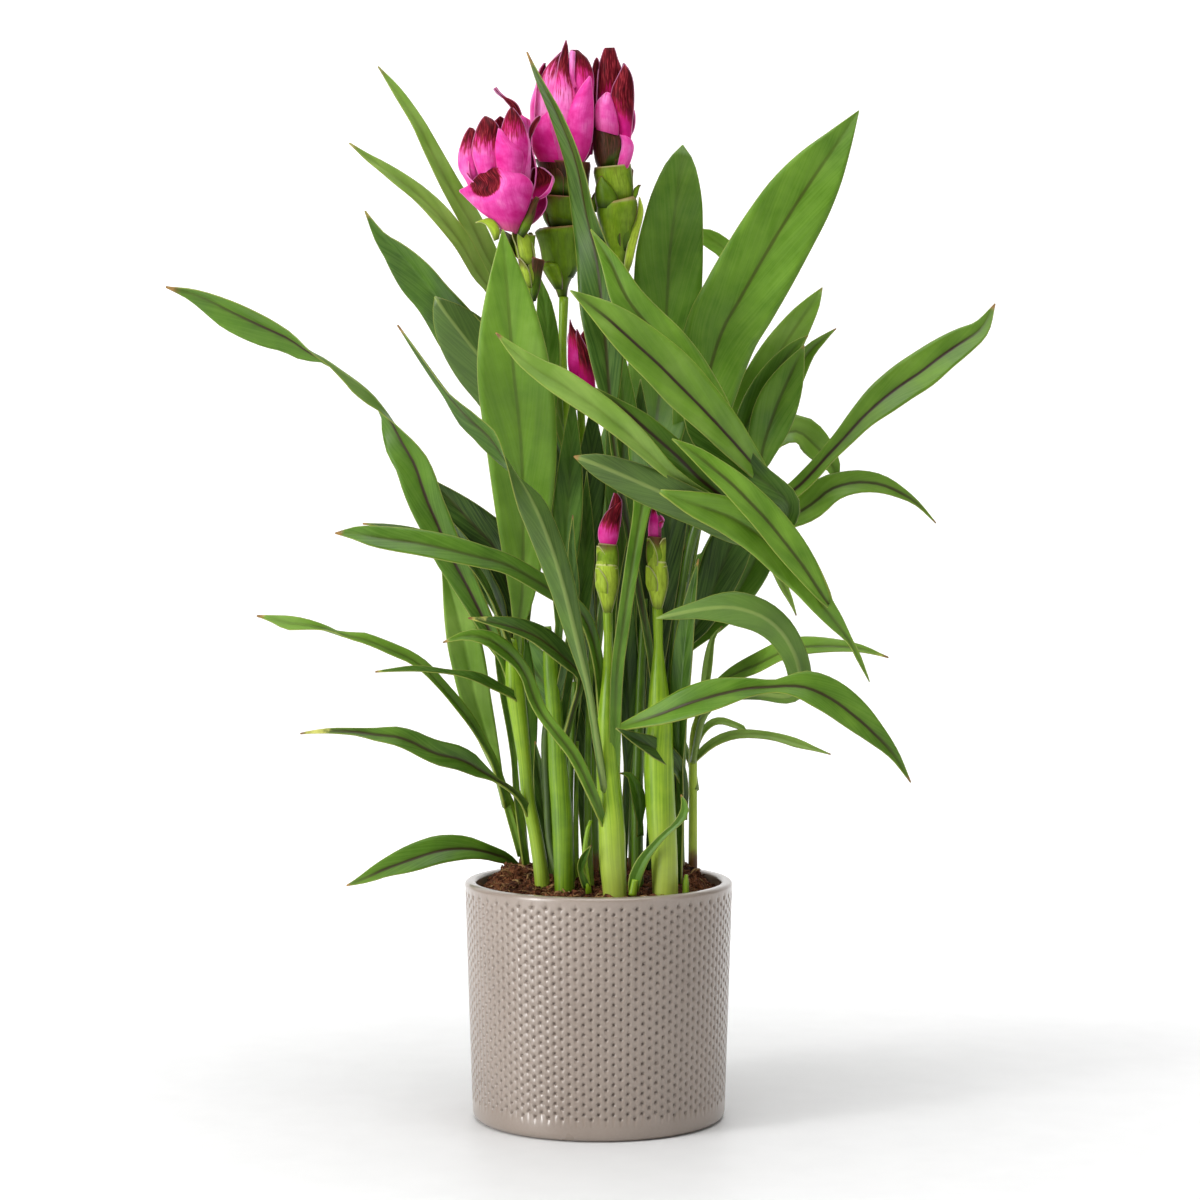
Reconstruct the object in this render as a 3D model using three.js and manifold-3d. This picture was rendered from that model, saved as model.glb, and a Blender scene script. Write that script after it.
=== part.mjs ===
import * as THREE from 'three';
import { mergeVertices } from 'three/addons/utils/BufferGeometryUtils.js';
import Module from 'manifold-3d';

const wasm = await Module();
wasm.setup();

// Driving dimensions, in millimetres
const POT_DIAMETER = 135;
const POT_HEIGHT = 120;
const POT_BASE_RADIUS = 63.8;
const POT_CORNER = 4;
const POT_WALL = 5.8;
const POT_FLOOR = 6;
const POT_COLUMNS = 40;
const DIMPLE_ROWS = 9;
const DIMPLE_DEPTH = 0.8;
const PLAIN_FOOT = 10;
const PLAIN_RIM = 4;
const SOIL_LEVEL = 119.5;
const SOIL_SLOPE = 0.1;
const SOIL_COLUMNS = 32;
const ROOT_BOTTOM = 98;
const GAP = 0.32;
const HOLE_GAP = 0.8;
const HOLE_SIDES = 8;
const STEM_SIDES = 8;
const LEAF_STEPS = 7;
const LEAF_THICKNESS = 0.7;
const NARROW_LEAF = 10.5;
const PETIOLE_THICKNESS = 2.4;
const PETIOLE_WIDTH = 3.8;
const RIB_HEIGHT = 0.6;
const BRACT_THICKNESS = 0.7;
const BRACT_STEPS = 3;
const BRACT_COLUMNS = 3;
const NARROW_BRACT = 13;
const BRACT_SPREAD = 1.1;
const CUP_COLUMNS = 12;
const CUP_POINT = 1.6;

// Every leaf and stem is drawn as rows [x, z, y]: x and z as seen from the eye on the
// plane y = 0, then its depth y, which spreads the row about the line of sight.
const EYE_DISTANCE = 1500;
const EYE_HEIGHT = 326;

function place([x, z, y]) {
  const spread = 1 + y / EYE_DISTANCE;
  return new THREE.Vector3(x * spread, y, EYE_HEIGHT + (z - EYE_HEIGHT) * spread);
}

// Closed body from points and faces, turned to face out
function closedBody(points, faces) {
  let volume = 0;
  const cross = new THREE.Vector3();
  for (const [a, b, c] of faces) {
    volume += points[a].dot(cross.crossVectors(points[b], points[c]));
  }
  const index = volume > 0 ? faces.flat() : faces.map(([a, b, c]) => [a, c, b]).flat();
  const geometry = new THREE.BufferGeometry();
  const flat = points.flatMap((p) => [p.x, p.y, p.z]);
  geometry.setAttribute('position', new THREE.Float32BufferAttribute(flat, 3));
  geometry.setIndex(index);
  return geometry;
}

// Thin sheet over a grid of points, with both faces split alike
function sheet(grid, thickness) {
  const rows = grid.length;
  const columns = grid[0].length;
  const at = (i, j) => grid[Math.min(Math.max(i, 0), rows - 1)][Math.min(Math.max(j, 0), columns - 1)];
  const points = [];
  const under = [];
  for (let i = 0; i < rows; i += 1) {
    for (let j = 0; j < columns; j += 1) {
      const along = at(i + 1, j).clone().sub(at(i - 1, j));
      const across = at(i, j + 1).clone().sub(at(i, j - 1));
      const normal = across.cross(along).normalize();
      points.push(at(i, j).clone());
      under.push(at(i, j).clone().addScaledVector(normal, -thickness(i / (rows - 1), j)));
    }
  }
  const half = points.length;
  points.push(...under);
  const faces = [];
  const wall = (a, b) => faces.push([a, a + half, b + half], [a, b + half, b]);
  for (let i = 0; i < rows - 1; i += 1) {
    for (let j = 0; j < columns - 1; j += 1) {
      const a = i * columns + j;
      const b = a + 1;
      const c = b + columns;
      const d = a + columns;
      faces.push([a, b, c], [a, c, d]);
      faces.push([a + half, c + half, b + half], [a + half, d + half, c + half]);
    }
  }
  for (let i = 0; i < rows - 1; i += 1) {
    wall((i + 1) * columns, i * columns);
    wall((i + 1) * columns - 1, (i + 2) * columns - 1);
  }
  for (let j = 0; j < columns - 1; j += 1) {
    wall(j, j + 1);
    wall((rows - 1) * columns + j + 1, (rows - 1) * columns + j);
  }
  return closedBody(points, faces.map(([a, b, c]) => [a, c, b]));
}

// Half width of a blade at a fraction of its length: a narrow petiole, then a lance shape
function bladeHalfWidth(u, { width, widest, petiole, blunt }) {
  if (u < petiole) {
    return PETIOLE_WIDTH / 2;
  }
  const s = (u - petiole) / (1 - petiole);
  const swell = s < widest
    ? Math.sin((Math.PI / 2) * (s / widest))
    : Math.cos((Math.PI / 2) * ((s - widest) / (1 - widest))) ** (1 - blunt);
  const least = THREE.MathUtils.lerp(PETIOLE_WIDTH / 2, 0.5, s);
  return Math.max(least, (width / 2) * swell);
}

// One leaf along its midrib. Roll 0 turns the upper face to the eye, fold makes the V.
function leaf(shape) {
  const { rows, width, fold = 14, roll = 0, steps = LEAF_STEPS } = shape;
  const { widest = 0.5, petiole = 0.08, blunt = 0.05 } = shape;
  const path = new THREE.CatmullRomCurve3(rows.map(place), false, 'catmullrom', 0.5);
  path.arcLengthDivisions = 120;
  const rolls = rows.map((row) => THREE.MathUtils.degToRad(row[3] ?? roll));
  const eye = new THREE.Vector3(0, -EYE_DISTANCE, EYE_HEIGHT);
  const bend = THREE.MathUtils.degToRad(fold);
  const grid = [];
  for (let i = 0; i <= steps; i += 1) {
    const u = i / steps;
    const t = path.getUtoTmapping(u);
    const k = Math.min(Math.floor(t * (rows.length - 1)), rows.length - 2);
    const turn = THREE.MathUtils.lerp(rolls[k], rolls[k + 1], t * (rows.length - 1) - k);
    const rib = path.getPoint(t);
    const along = path.getTangent(t);
    const facing = eye.clone().sub(rib);
    facing.addScaledVector(along, -facing.dot(along)).normalize();
    const aside = along.clone().cross(facing);
    const side = aside.clone().multiplyScalar(Math.cos(turn)).addScaledVector(facing, Math.sin(turn));
    const up = facing.clone().multiplyScalar(Math.cos(turn)).addScaledVector(aside, -Math.sin(turn));
    const half = bladeHalfWidth(u, { width, widest, petiole, blunt });
    const out = side.multiplyScalar(half * Math.cos(bend));
    const lift = up.multiplyScalar(half * Math.sin(bend));
    const left = rib.clone().sub(out).add(lift);
    const right = rib.clone().add(out).add(lift);
    grid.push(width < NARROW_LEAF ? [left, right] : [left, rib, right]);
  }
  const thickness = (u, j) => {
    const blade = Math.max(LEAF_THICKNESS, THREE.MathUtils.lerp(PETIOLE_THICKNESS, LEAF_THICKNESS, u / 0.4));
    return blade + (width >= NARROW_LEAF && j === 1 ? RIB_HEIGHT : 0);
  };
  return sheet(grid, thickness);
}

// Tapered stem through rings of given radius. Its rows are [x, z, y, radius].
function tube(centres, radii, sides = STEM_SIDES) {
  const points = [];
  const faces = [];
  const last = centres.length - 1;
  centres.forEach((centre, i) => {
    const along = centres[Math.min(i + 1, last)].clone().sub(centres[Math.max(i - 1, 0)]).normalize();
    const across = new THREE.Vector3(0, 1, 0).cross(along).normalize();
    const other = along.clone().cross(across);
    for (let k = 0; k < sides; k += 1) {
      const angle = (2 * Math.PI * k) / sides;
      points.push(
        centre
          .clone()
          .addScaledVector(across, radii[i] * Math.cos(angle))
          .addScaledVector(other, radii[i] * Math.sin(angle)),
      );
    }
  });
  points.push(centres[0].clone(), centres[last].clone());
  for (let k = 0; k < sides; k += 1) {
    const next = (k + 1) % sides;
    for (let i = 0; i < last; i += 1) {
      const a = i * sides + k;
      const b = i * sides + next;
      faces.push([a, b, b + sides], [a, b + sides, a + sides]);
    }
    faces.push([points.length - 2, next, k]);
    faces.push([points.length - 1, last * sides + k, last * sides + next]);
  }
  return closedBody(points, faces);
}

function stem(rows) {
  return tube(rows.map(place), rows.map((row) => row[3]));
}

// Stem that starts in the soil: below its first row it goes straight down
const holes = [];

function rootedStem(rows) {
  const centres = rows.map(place);
  const radii = rows.map((row) => row[3]);
  const foot = centres[0].clone().setZ(ROOT_BOTTOM);
  holes.push({ x: foot.x, y: foot.y, radius: radii[0] + HOLE_GAP });
  return tube([foot, ...centres], [radii[0], ...radii]);
}

// Cupped bract of a flower head, by its turn about the axis (0 right, 90 back), the height of
// its base, its rise, how far its belly and tip stand off the axis, and its width
function bract(axis, root, [turn, base, rise, belly, tip, width]) {
  const middle = THREE.MathUtils.degToRad(turn);
  const columns = width < NARROW_BRACT ? 2 : BRACT_COLUMNS;
  const grid = [];
  for (let i = 0; i <= BRACT_STEPS; i += 1) {
    const u = i / BRACT_STEPS;
    const flare = u < 0.5 ? Math.sin(Math.PI * u) : 1;
    const close = Math.max(0, 2 * u - 1) ** 1.6;
    const reach = root + (belly - root) * flare + (tip - belly) * close;
    const half = Math.max(0.5, (width / 2) * Math.sin(Math.PI * (0.04 + 0.94 * u)) ** 0.8);
    const spread = Math.min(half / reach, BRACT_SPREAD);
    const row = [];
    for (let j = 0; j <= columns; j += 1) {
      const angle = middle + spread * ((2 * j) / columns - 1);
      const outward = new THREE.Vector3(Math.cos(angle), Math.sin(angle), 0);
      row.push(axisPoint(axis, base + rise * u).addScaledVector(outward, reach));
    }
    grid.push(row);
  }
  return sheet(grid, () => BRACT_THICKNESS);
}

// Stack of green cup bracts. Each tier [base, rim, inner radius, rim radius, turn] flares up
// to a rim with three points, and the next tier rises out of it.
function cups(axis, tiers) {
  const rings = [];
  for (const [base, rim, inner, outer, turn] of tiers) {
    rings.push([base, inner, 0, 0]);
    rings.push([(base + rim) / 2, (inner + outer) / 2 + 0.8, 0, 0]);
    rings.push([rim, outer, CUP_POINT, turn]);
  }
  const [top, neck] = [tiers[tiers.length - 1][1] - 2, tiers[tiers.length - 1][2]];
  rings.push([top, neck, 0, 0]);
  const points = [];
  const faces = [];
  rings.forEach(([z, radius, point, turn], i) => {
    for (let k = 0; k < CUP_COLUMNS; k += 1) {
      const angle = (2 * Math.PI * k) / CUP_COLUMNS;
      const lobe = Math.cos(3 * (angle - THREE.MathUtils.degToRad(turn)));
      const outward = new THREE.Vector3(Math.cos(angle), Math.sin(angle), 0);
      const centre = axisPoint(axis, z + point * lobe);
      points.push(centre.addScaledVector(outward, radius + 0.3 * point * lobe));
      const next = (k + 1) % CUP_COLUMNS;
      if (i > 0) {
        const [a, b] = [i * CUP_COLUMNS, (i - 1) * CUP_COLUMNS];
        faces.push([b + k, b + next, a + next], [b + k, a + next, a + k]);
      }
    }
  });
  points.push(axisPoint(axis, tiers[0][0]), axisPoint(axis, top));
  for (let k = 0; k < CUP_COLUMNS; k += 1) {
    const next = (k + 1) % CUP_COLUMNS;
    const last = (rings.length - 1) * CUP_COLUMNS;
    faces.push([points.length - 2, next, k], [points.length - 1, last + k, last + next]);
  }
  return closedBody(points, faces);
}

// Point of a flower head's axis at a drawn height; axis rows are [x, z, y]
function axisPoint(axis, z) {
  let k = 0;
  while (k < axis.length - 2 && z > axis[k + 1][1]) {
    k += 1;
  }
  const [a, b] = [axis[k], axis[k + 1]];
  const t = (z - a[1]) / (b[1] - a[1]);
  return place([0, 1, 2].map((n) => a[n] + (b[n] - a[n]) * t));
}

function bracts(axis, root, table) {
  return table.map((row) => bract(axis, root, row));
}

function core(axis, rows) {
  return tube(rows.map(([z]) => axisPoint(axis, z)), rows.map(([, radius]) => radius));
}

// Joining and cutting of closed bodies
function toSolid(geometry) {
  const merged = mergeVertices(geometry, 1e-5);
  const mesh = new wasm.Mesh({
    numProp: 3,
    vertProperties: new Float32Array(merged.attributes.position.array),
    triVerts: new Uint32Array(merged.index.array),
  });
  mesh.merge();
  return new wasm.Manifold(mesh);
}

function toGeometry(solid) {
  const { vertProperties, triVerts } = solid.getMesh();
  const geometry = new THREE.BufferGeometry();
  geometry.setAttribute('position', new THREE.Float32BufferAttribute(vertProperties, 3));
  geometry.setIndex(Array.from(triVerts));
  return geometry;
}

// Fuses the bodies and keeps the one that holds together
function fuse(bodies) {
  let whole = toSolid(bodies[0]);
  for (const body of bodies.slice(1)) {
    whole = whole.add(toSolid(body));
  }
  const parts = whole.decompose();
  parts.sort((a, b) => b.volume() - a.volume());
  return toGeometry(parts[0]);
}

// Materials
const glazeMaterial = new THREE.MeshStandardMaterial({ color: 0xb4a89e, roughness: 0.38, metalness: 0 });
const soilMaterial = new THREE.MeshStandardMaterial({ color: 0x4a2a1c, roughness: 0.95, metalness: 0 });
const leafMaterial = new THREE.MeshStandardMaterial({ color: 0x567f2c, roughness: 0.45, metalness: 0 });
const sproutMaterial = new THREE.MeshStandardMaterial({ color: 0x86b03c, roughness: 0.5, metalness: 0 });
const pinkMaterial = new THREE.MeshStandardMaterial({ color: 0xd9559c, roughness: 0.5, metalness: 0 });

const plant = new THREE.Group();

function addPart(name, geometry, material) {
  const mesh = new THREE.Mesh(geometry, material);
  mesh.name = name;
  plant.add(mesh);
}

// Pot: turned profile, with dimples where alternate points of the wall are pressed in
function potRadius(z) {
  const t = (z - POT_CORNER) / (POT_HEIGHT - POT_CORNER);
  return THREE.MathUtils.lerp(POT_BASE_RADIUS, POT_DIAMETER / 2, t);
}

function makePot() {
  const profile = [
    new THREE.Vector2(0, 0),
    new THREE.Vector2(POT_BASE_RADIUS - POT_CORNER, 0),
    new THREE.Vector2(POT_BASE_RADIUS - 1.2, 1.2),
    new THREE.Vector2(POT_BASE_RADIUS, POT_CORNER),
  ];
  const firstDimple = profile.length;
  for (let i = 0; i <= DIMPLE_ROWS; i += 1) {
    const z = THREE.MathUtils.lerp(PLAIN_FOOT, POT_HEIGHT - PLAIN_RIM, i / DIMPLE_ROWS);
    profile.push(new THREE.Vector2(potRadius(z), z));
  }
  const lastDimple = profile.length - 1;
  const rim = POT_DIAMETER / 2;
  profile.push(new THREE.Vector2(rim, POT_HEIGHT - 1.6));
  profile.push(new THREE.Vector2(rim - 1.6, POT_HEIGHT));
  profile.push(new THREE.Vector2(rim - POT_WALL + 1.6, POT_HEIGHT));
  profile.push(new THREE.Vector2(rim - POT_WALL, POT_HEIGHT - 1.6));
  profile.push(new THREE.Vector2(potRadius(POT_FLOOR) - POT_WALL, POT_FLOOR));
  profile.push(new THREE.Vector2(0, POT_FLOOR));
  const geometry = new THREE.LatheGeometry(profile, POT_COLUMNS);
  const position = geometry.attributes.position;
  const stride = profile.length;
  for (let column = 0; column <= POT_COLUMNS; column += 1) {
    for (let i = firstDimple + 1; i < lastDimple; i += 1) {
      if ((column + i) % 2 === 0) {
        const k = column * stride + i;
        const radius = Math.hypot(position.getX(k), position.getZ(k));
        const inward = (radius - DIMPLE_DEPTH) / radius;
        position.setX(k, position.getX(k) * inward);
        position.setZ(k, position.getZ(k) * inward);
      }
    }
  }
  return toGeometry(toSolid(strip(geometry).rotateX(Math.PI / 2)));
}

function strip(geometry) {
  geometry.deleteAttribute('normal');
  geometry.deleteAttribute('uv');
  return geometry;
}

// Soil: crumbly heap that fills the pot, with a plain hole for each rooted stem
function seededRandom(seed) {
  let state = seed;
  return () => {
    state = (state * 1664525 + 1013904223) % 4294967296;
    return state / 4294967296;
  };
}

function soilHeight(x, y, random) {
  const radius = Math.hypot(x, y);
  const edge = Math.max(0, (radius - 46) / 14) ** 1.5 * 7;
  const heap = 4 * Math.exp(-((x + 49) ** 2 + (y - 22) ** 2) / 120);
  const otherHeap = 5 * Math.exp(-((x - 41) ** 2 + (y - 30) ** 2) / 200);
  return SOIL_LEVEL + SOIL_SLOPE * y + heap + otherHeap - edge + (random() - 0.5) * 1.6;
}

function makeSoil() {
  const random = seededRandom(7);
  const wall = (z) => potRadius(z) - POT_WALL - 2 * GAP;
  const rings = [12, 23, 33, 42, 50, 57, wall(112) - 0.2];
  const points = [new THREE.Vector3(0, 0, SOIL_LEVEL)];
  for (const radius of rings) {
    for (let k = 0; k < SOIL_COLUMNS; k += 1) {
      const angle = (2 * Math.PI * k) / SOIL_COLUMNS;
      const x = radius * Math.cos(angle);
      const y = radius * Math.sin(angle);
      points.push(new THREE.Vector3(x, y, soilHeight(x, y, random)));
    }
  }
  const bottom = POT_FLOOR + GAP;
  for (let k = 0; k < SOIL_COLUMNS; k += 1) {
    const angle = (2 * Math.PI * k) / SOIL_COLUMNS;
    points.push(new THREE.Vector3(wall(bottom) * Math.cos(angle), wall(bottom) * Math.sin(angle), bottom));
  }
  points.push(new THREE.Vector3(0, 0, bottom));
  const faces = [];
  for (let k = 0; k < SOIL_COLUMNS; k += 1) {
    const next = (k + 1) % SOIL_COLUMNS;
    faces.push([0, 1 + k, 1 + next]);
    for (let ring = 0; ring < rings.length; ring += 1) {
      const a = 1 + ring * SOIL_COLUMNS;
      const b = a + SOIL_COLUMNS;
      faces.push([a + k, b + k, b + next], [a + k, b + next, a + next]);
    }
    const foot = 1 + rings.length * SOIL_COLUMNS;
    faces.push([points.length - 1, foot + next, foot + k]);
  }
  let soil = toSolid(closedBody(points, faces));
  for (const hole of holes) {
    const bore = new THREE.CylinderGeometry(hole.radius, hole.radius, 60, HOLE_SIDES);
    strip(bore).rotateX(Math.PI / 2);
    bore.translate(hole.x, hole.y, ROOT_BOTTOM - GAP + 30);
    soil = soil.subtract(toSolid(bore));
  }
  return toGeometry(soil.decompose().sort((a, b) => b.volume() - a.volume())[0]);
}

// Flower heads: axis rows, then bract rows [turn, base, rise, belly, tip, width]
const axisA = [[-34.5, 425, -24], [-38, 445, -24], [-46, 472, -25], [-50, 510, -25]];
const axisB = [[-17.5, 410, -2], [-18, 480, -2], [-18, 545, -2]];
const axisC = [[11.5, 425, 0], [9, 465, 0], [7.5, 500, 0], [7, 540, 0]];
const axisD = [[-9, 365, 14], [-9, 405, 14]];
const axisE = [[4.5, 255, -33], [4.5, 290, -33], [6, 318, -33]];
const axisF = [[29.5, 255, -30], [29.5, 290, -30], [29, 310, -30]];

const comaA = [
  [190, 456, 42, 19.5, 17, 20],
  [-130, 458, 45, 15, 10, 20],
  [-65, 458, 49, 16, 5, 22],
  [-5, 458, 43, 13.5, 13, 18],
  [90, 458, 45, 14, 7, 24],
  [-115, 449.5, 28, 18, 20, 34],
  [-25, 449.5, 27, 15, 17, 18],
];
const comaB = [
  [185, 478, 55, 15.5, 7, 24],
  [-120, 478, 63, 13.8, 2.5, 22],
  [-55, 478, 56, 15.3, 9, 24],
  [5, 478, 48, 13.8, 13, 20],
  [95, 478, 54, 15.3, 7, 26],
  [-85, 476.5, 39, 17, 14, 30],
  [-150, 476.5, 28, 17, 16, 22],
];
const comaC = [
  [190, 492, 40, 9.5, 8, 12],
  [-110, 492, 44, 8.2, 3, 15],
  [-40, 492, 44, 9.5, 3, 16],
  [-5, 490, 39, 12, 8, 16],
  [100, 492, 42, 9, 3, 16],
  [-85, 489, 25, 10.8, 9, 20],
];
const comaD = [
  [-150, 378, 24, 6.5, 4, 10],
  [-60, 378, 20, 7, 6, 11],
  [30, 378, 20, 7, 6.5, 10],
  [120, 378, 22, 6.5, 5, 10],
];
const comaE = [
  [-130, 290, 24, 4.6, 1.5, 8],
  [-20, 290, 19, 4.8, 4.5, 8],
  [100, 290, 20, 4.4, 2, 8],
];
const comaF = [
  [-120, 297, 11, 3, 1.5, 5],
  [0, 297, 7, 3.2, 3.5, 5],
  [120, 297, 9, 3, 1.5, 5],
];

const cupsA = [
  [427, 446, 4.5, 9, 30],
];
const cupsB = [
  [411, 429, 5, 11.5, -90],
  [425, 446, 9, 13, -30],
  [441, 462, 9.5, 13.5, -90],
  [457, 476, 9.5, 14, -30],
];
const cupsC = [
  [424, 446, 5, 10.5, -30],
  [441, 467, 7.5, 11, 30],
  [462, 490, 8, 10, -90],
];
const cupsD = [
  [357, 373, 3, 6.5, -30],
];
const cupsE = [
  [259, 276, 3, 6, -90],
  [271, 288, 4, 5.2, -30],
];
const cupsF = [
  [258, 277, 3, 6, -90],
  [272, 292, 4, 4.8, -30],
];

// Shoot at the back left: two thin stems with three leaves
function makeShootLeftBack() {
  return fuse([
    rootedStem([[-36.5, 121, 35, 4], [-36.8, 126, 35, 4], [-38.5, 131, 35, 2]]),
    stem([[-37, 122, 34, 2.4], [-38.5, 140, 32, 2.2], [-41, 150, 28, 2], [-47, 165, 22, 1.8],
      [-50, 174, 20, 1.4]]),
    stem([[-36, 122, 37, 2.4], [-37.5, 135, 38, 2.2], [-38.5, 150, 36, 1.8], [-40, 165, 34, 1.2]]),
    leaf({
      rows: [[-39, 132, 31], [-46, 157, 23], [-50, 172, 20], [-56, 195, 16], [-61, 212, 10],
        [-65, 232, 5], [-69, 250, 0], [-74, 268, -4], [-78, 279, -8]],
      width: 18, widest: 0.62, petiole: 0.22,
    }),
    leaf({
      rows: [[-46, 157, 22], [-50, 168, 18], [-56, 182, 12], [-62, 193, 6], [-70, 205.5, 0],
        [-80, 217, -6], [-90, 228, -12], [-104, 235, -16], [-118, 241, -18], [-133, 244.5, -18],
        [-147, 248, -16], [-160, 251, -13], [-172, 253.5, -10]],
      width: 13, petiole: 0.15, fold: 35, roll: -55, steps: 9,
    }),
    leaf({
      rows: [[-38, 129, 36, -60], [-43, 130.5, 33, -50], [-50, 134.5, 28, -40], [-60, 136.5, 22, -35],
        [-75, 137, 18, -30], [-90, 133.5, 15, -30], [-105, 128, 12, -30], [-117, 122.5, 11, -35],
        [-127.5, 118.5, 10, -40]],
      width: 17, petiole: 0.12,
    }),
  ]);
}

// Left shoot: thick stem, broad front leaf, long left leaf and flower A
function makeShootLeft() {
  return fuse([
    rootedStem([[-28.5, 117, -11, 3.8], [-31.5, 140, -11, 3.4], [-35.5, 160, -11, 3.3],
      [-37.5, 180, -12, 3.3], [-40, 200, -13, 4.2], [-42, 215, -13, 4.8], [-43, 228, -13, 4],
      [-43.5, 242, -14, 2.4]]),
    stem([[-41, 212, -11, 2], [-38.5, 250, -8, 1.9], [-36, 290, -15, 1.8], [-35.5, 340, -19, 1.8],
      [-35, 380, -21, 1.8], [-34.5, 429, -24, 2.4]]),
    cups(axisA, cupsA),
    bract(axisA, 4, [175, 432, 17, 8, 17, 14]),
    leaf({
      rows: [[-40, 212, -13], [-41, 240, -15], [-38.5, 265, -20, -5], [-38, 300, -28, -8],
        [-39, 340, -36, -6], [-43, 380, -43], [-46, 420, -48], [-48, 447, -50]],
      width: 38, widest: 0.62, petiole: 0.1, fold: 10, steps: 8,
    }),
    leaf({
      rows: [[-41, 205, -10, 10], [-46, 228, -12, 10], [-55, 246, -15, 15], [-66, 268, -19, 20],
        [-75, 289, -22, 15], [-84, 311, -25, 10], [-92, 334, -28, 20], [-101, 356, -30, 50],
        [-116, 374, -32, 68], [-134, 385, -34, 68], [-155, 394, -36, 60], [-190, 411, -38, 50],
        [-216.5, 416.5, -40, 40]],
      width: 20, petiole: 0.05, fold: 32, steps: 9,
    }),
    leaf({
      rows: [[-41, 222, -9], [-42, 250, -4], [-46, 270, 0], [-52, 287, 3], [-61, 297, 4], [-72, 309, 4],
        [-84, 322, 2]],
      width: 25, petiole: 0.15, roll: 10,
    }),
    leaf({
      rows: [[-42, 228, -10], [-50, 257, -5], [-57, 270, -3], [-63, 281, -2], [-70, 293, 0],
        [-76, 303, 2]],
      width: 11, petiole: 0.15, roll: 10,
    }),
    leaf({
      rows: [[-42, 232, -15], [-55, 265, -30], [-70, 285, -38], [-90, 294, -44], [-105, 298, -46],
        [-118.5, 300, -46]],
      width: 10, petiole: 0.2, roll: -60,
    }),
    leaf({
      rows: [[-39, 205, -14], [-45, 214, -22], [-60, 221, -32], [-85, 226, -40], [-112.5, 225.3, -42]],
      width: 7, petiole: 0.2, roll: -55,
    }),
    leaf({
      rows: [[-34, 152, -12], [-41, 162, -20], [-50, 170, -30], [-65, 180, -40], [-90, 188.5, -50],
        [-110, 193, -52], [-130, 196, -50], [-150.5, 195, -45]],
      width: 15, petiole: 0.12, roll: -35,
    }),
  ]);
}

// Middle shoot: leafy stem with a thin companion, and flower B
function makeShootMiddle() {
  return fuse([
    rootedStem([[-17.3, 112.5, -23, 4.8], [-18.5, 150, -23, 5.2], [-20.5, 175, -23, 4.8],
      [-22, 200, -24, 4], [-24, 225, -24, 4], [-26, 248, -24, 2]]),
    stem([[-20, 120, -20, 2.4], [-24.5, 140, -19, 2.2], [-26, 165, -19, 2.2], [-27, 190, -20, 2],
      [-25, 205, -22, 2]]),
    stem([[-22, 225, -23, 2], [-16, 300, -14, 1.9], [-16, 350, -9, 1.8], [-18, 385, -5, 1.9],
      [-17.5, 413, -2, 2.4]]),
    cups(axisB, cupsB),
    leaf({
      rows: [[-19, 182, -25], [-13, 205, -31], [-9, 222, -36], [-15, 230, -42], [-30, 242, -50],
        [-45, 248, -56], [-65.5, 252.5, -60]],
      width: 16, petiole: 0.25, roll: -50,
    }),
    leaf({
      rows: [[-22, 215, -24], [-19, 260, -24], [-16, 300, -24], [-14, 335, -24], [-13, 366, -22]],
      width: 15, petiole: 0.15, fold: 10,
    }),
    leaf({
      rows: [[-20, 190, -21], [-12, 240, -14], [-7, 285, -10], [-6, 326, -8]],
      width: 11, petiole: 0.15, fold: 10, steps: 6,
    }),
    leaf({
      rows: [[-23, 200, -24], [-15, 240, -30], [-12, 262, -30], [-13.5, 285, -30], [-13, 304, -30]],
      width: 5, petiole: 0.4, fold: 10,
    }),
  ]);
}

// Front shoot: thick stem, broad right leaf, arching leaves and bud E
function makeShootFront() {
  return fuse([
    rootedStem([[8.2, 111.5, -33, 5.8], [7, 130, -33, 6.6], [6.5, 150, -33, 6.6], [5, 175, -33, 6],
      [4.5, 200, -33, 5], [5, 222, -33, 3.2], [5, 240, -33, 2.2], [4.5, 262, -33, 2.6]]),
    cups(axisE, cupsE),
    leaf({
      rows: [[3, 165, -36, 170], [-1, 190, -42, 170], [-5, 215, -47, 170], [-11, 240, -52, 170],
        [-18, 268, -58, 170], [-25, 290, -62, 160], [-33, 309, -65, 150], [-44, 327, -67, 90],
        [-55, 343, -68, 40], [-66, 353, -67, 40], [-77, 366, -65, 75], [-88, 381, -62, 70],
        [-101, 399, -58, 60]],
      width: 14, petiole: 0.15, steps: 8,
    }),
    leaf({
      rows: [[2, 203, -32], [0, 228, -30], [-5, 248, -32], [-12, 258, -38], [-25, 267, -44],
        [-45, 279, -50], [-70, 285, -55], [-100, 290.5, -55], [-132.5, 295, -50]],
      width: 15, petiole: 0.25, roll: -35, steps: 8,
    }),
    leaf({
      rows: [[4, 146, -36], [-3, 163, -44], [-12, 182, -46], [-24, 198, -44], [-34, 207, -40],
        [-36, 222, -38], [-42, 232, -42], [-52, 241, -48], [-65, 243, -50], [-78.5, 240, -50]],
      width: 9, petiole: 0.4, roll: -35, steps: 9,
    }),
    leaf({
      rows: [[8, 170, -36], [10.5, 220, -41], [14, 250, -42], [19, 280, -41], [24, 309, -34],
        [27, 330, -19], [30, 360, 0], [32.5, 390, 10], [34, 412, 12], [36, 440, 20], [40, 470, 28],
        [42, 488, 34]],
      width: 36, widest: 0.45, petiole: 0.42, blunt: 0.4, fold: 10, steps: 9,
    }),
    leaf({
      rows: [[8, 196, -36, 25], [18, 199.5, -46, 25], [30, 203, -52, 20], [45, 207, -57, 20],
        [60, 212, -60, 25], [75, 216, -61, 45], [88, 219, -61, 65], [97, 220, -61, 40],
        [106, 218.5, -60, 20], [118, 212.5, -58, 20], [130, 203.5, -55, 30], [140, 195, -52, 40],
        [150, 184, -49, 50], [158.5, 170, -46, 60]],
      width: 18, petiole: 0.06, steps: 9,
    }),
  ]);
}

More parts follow.
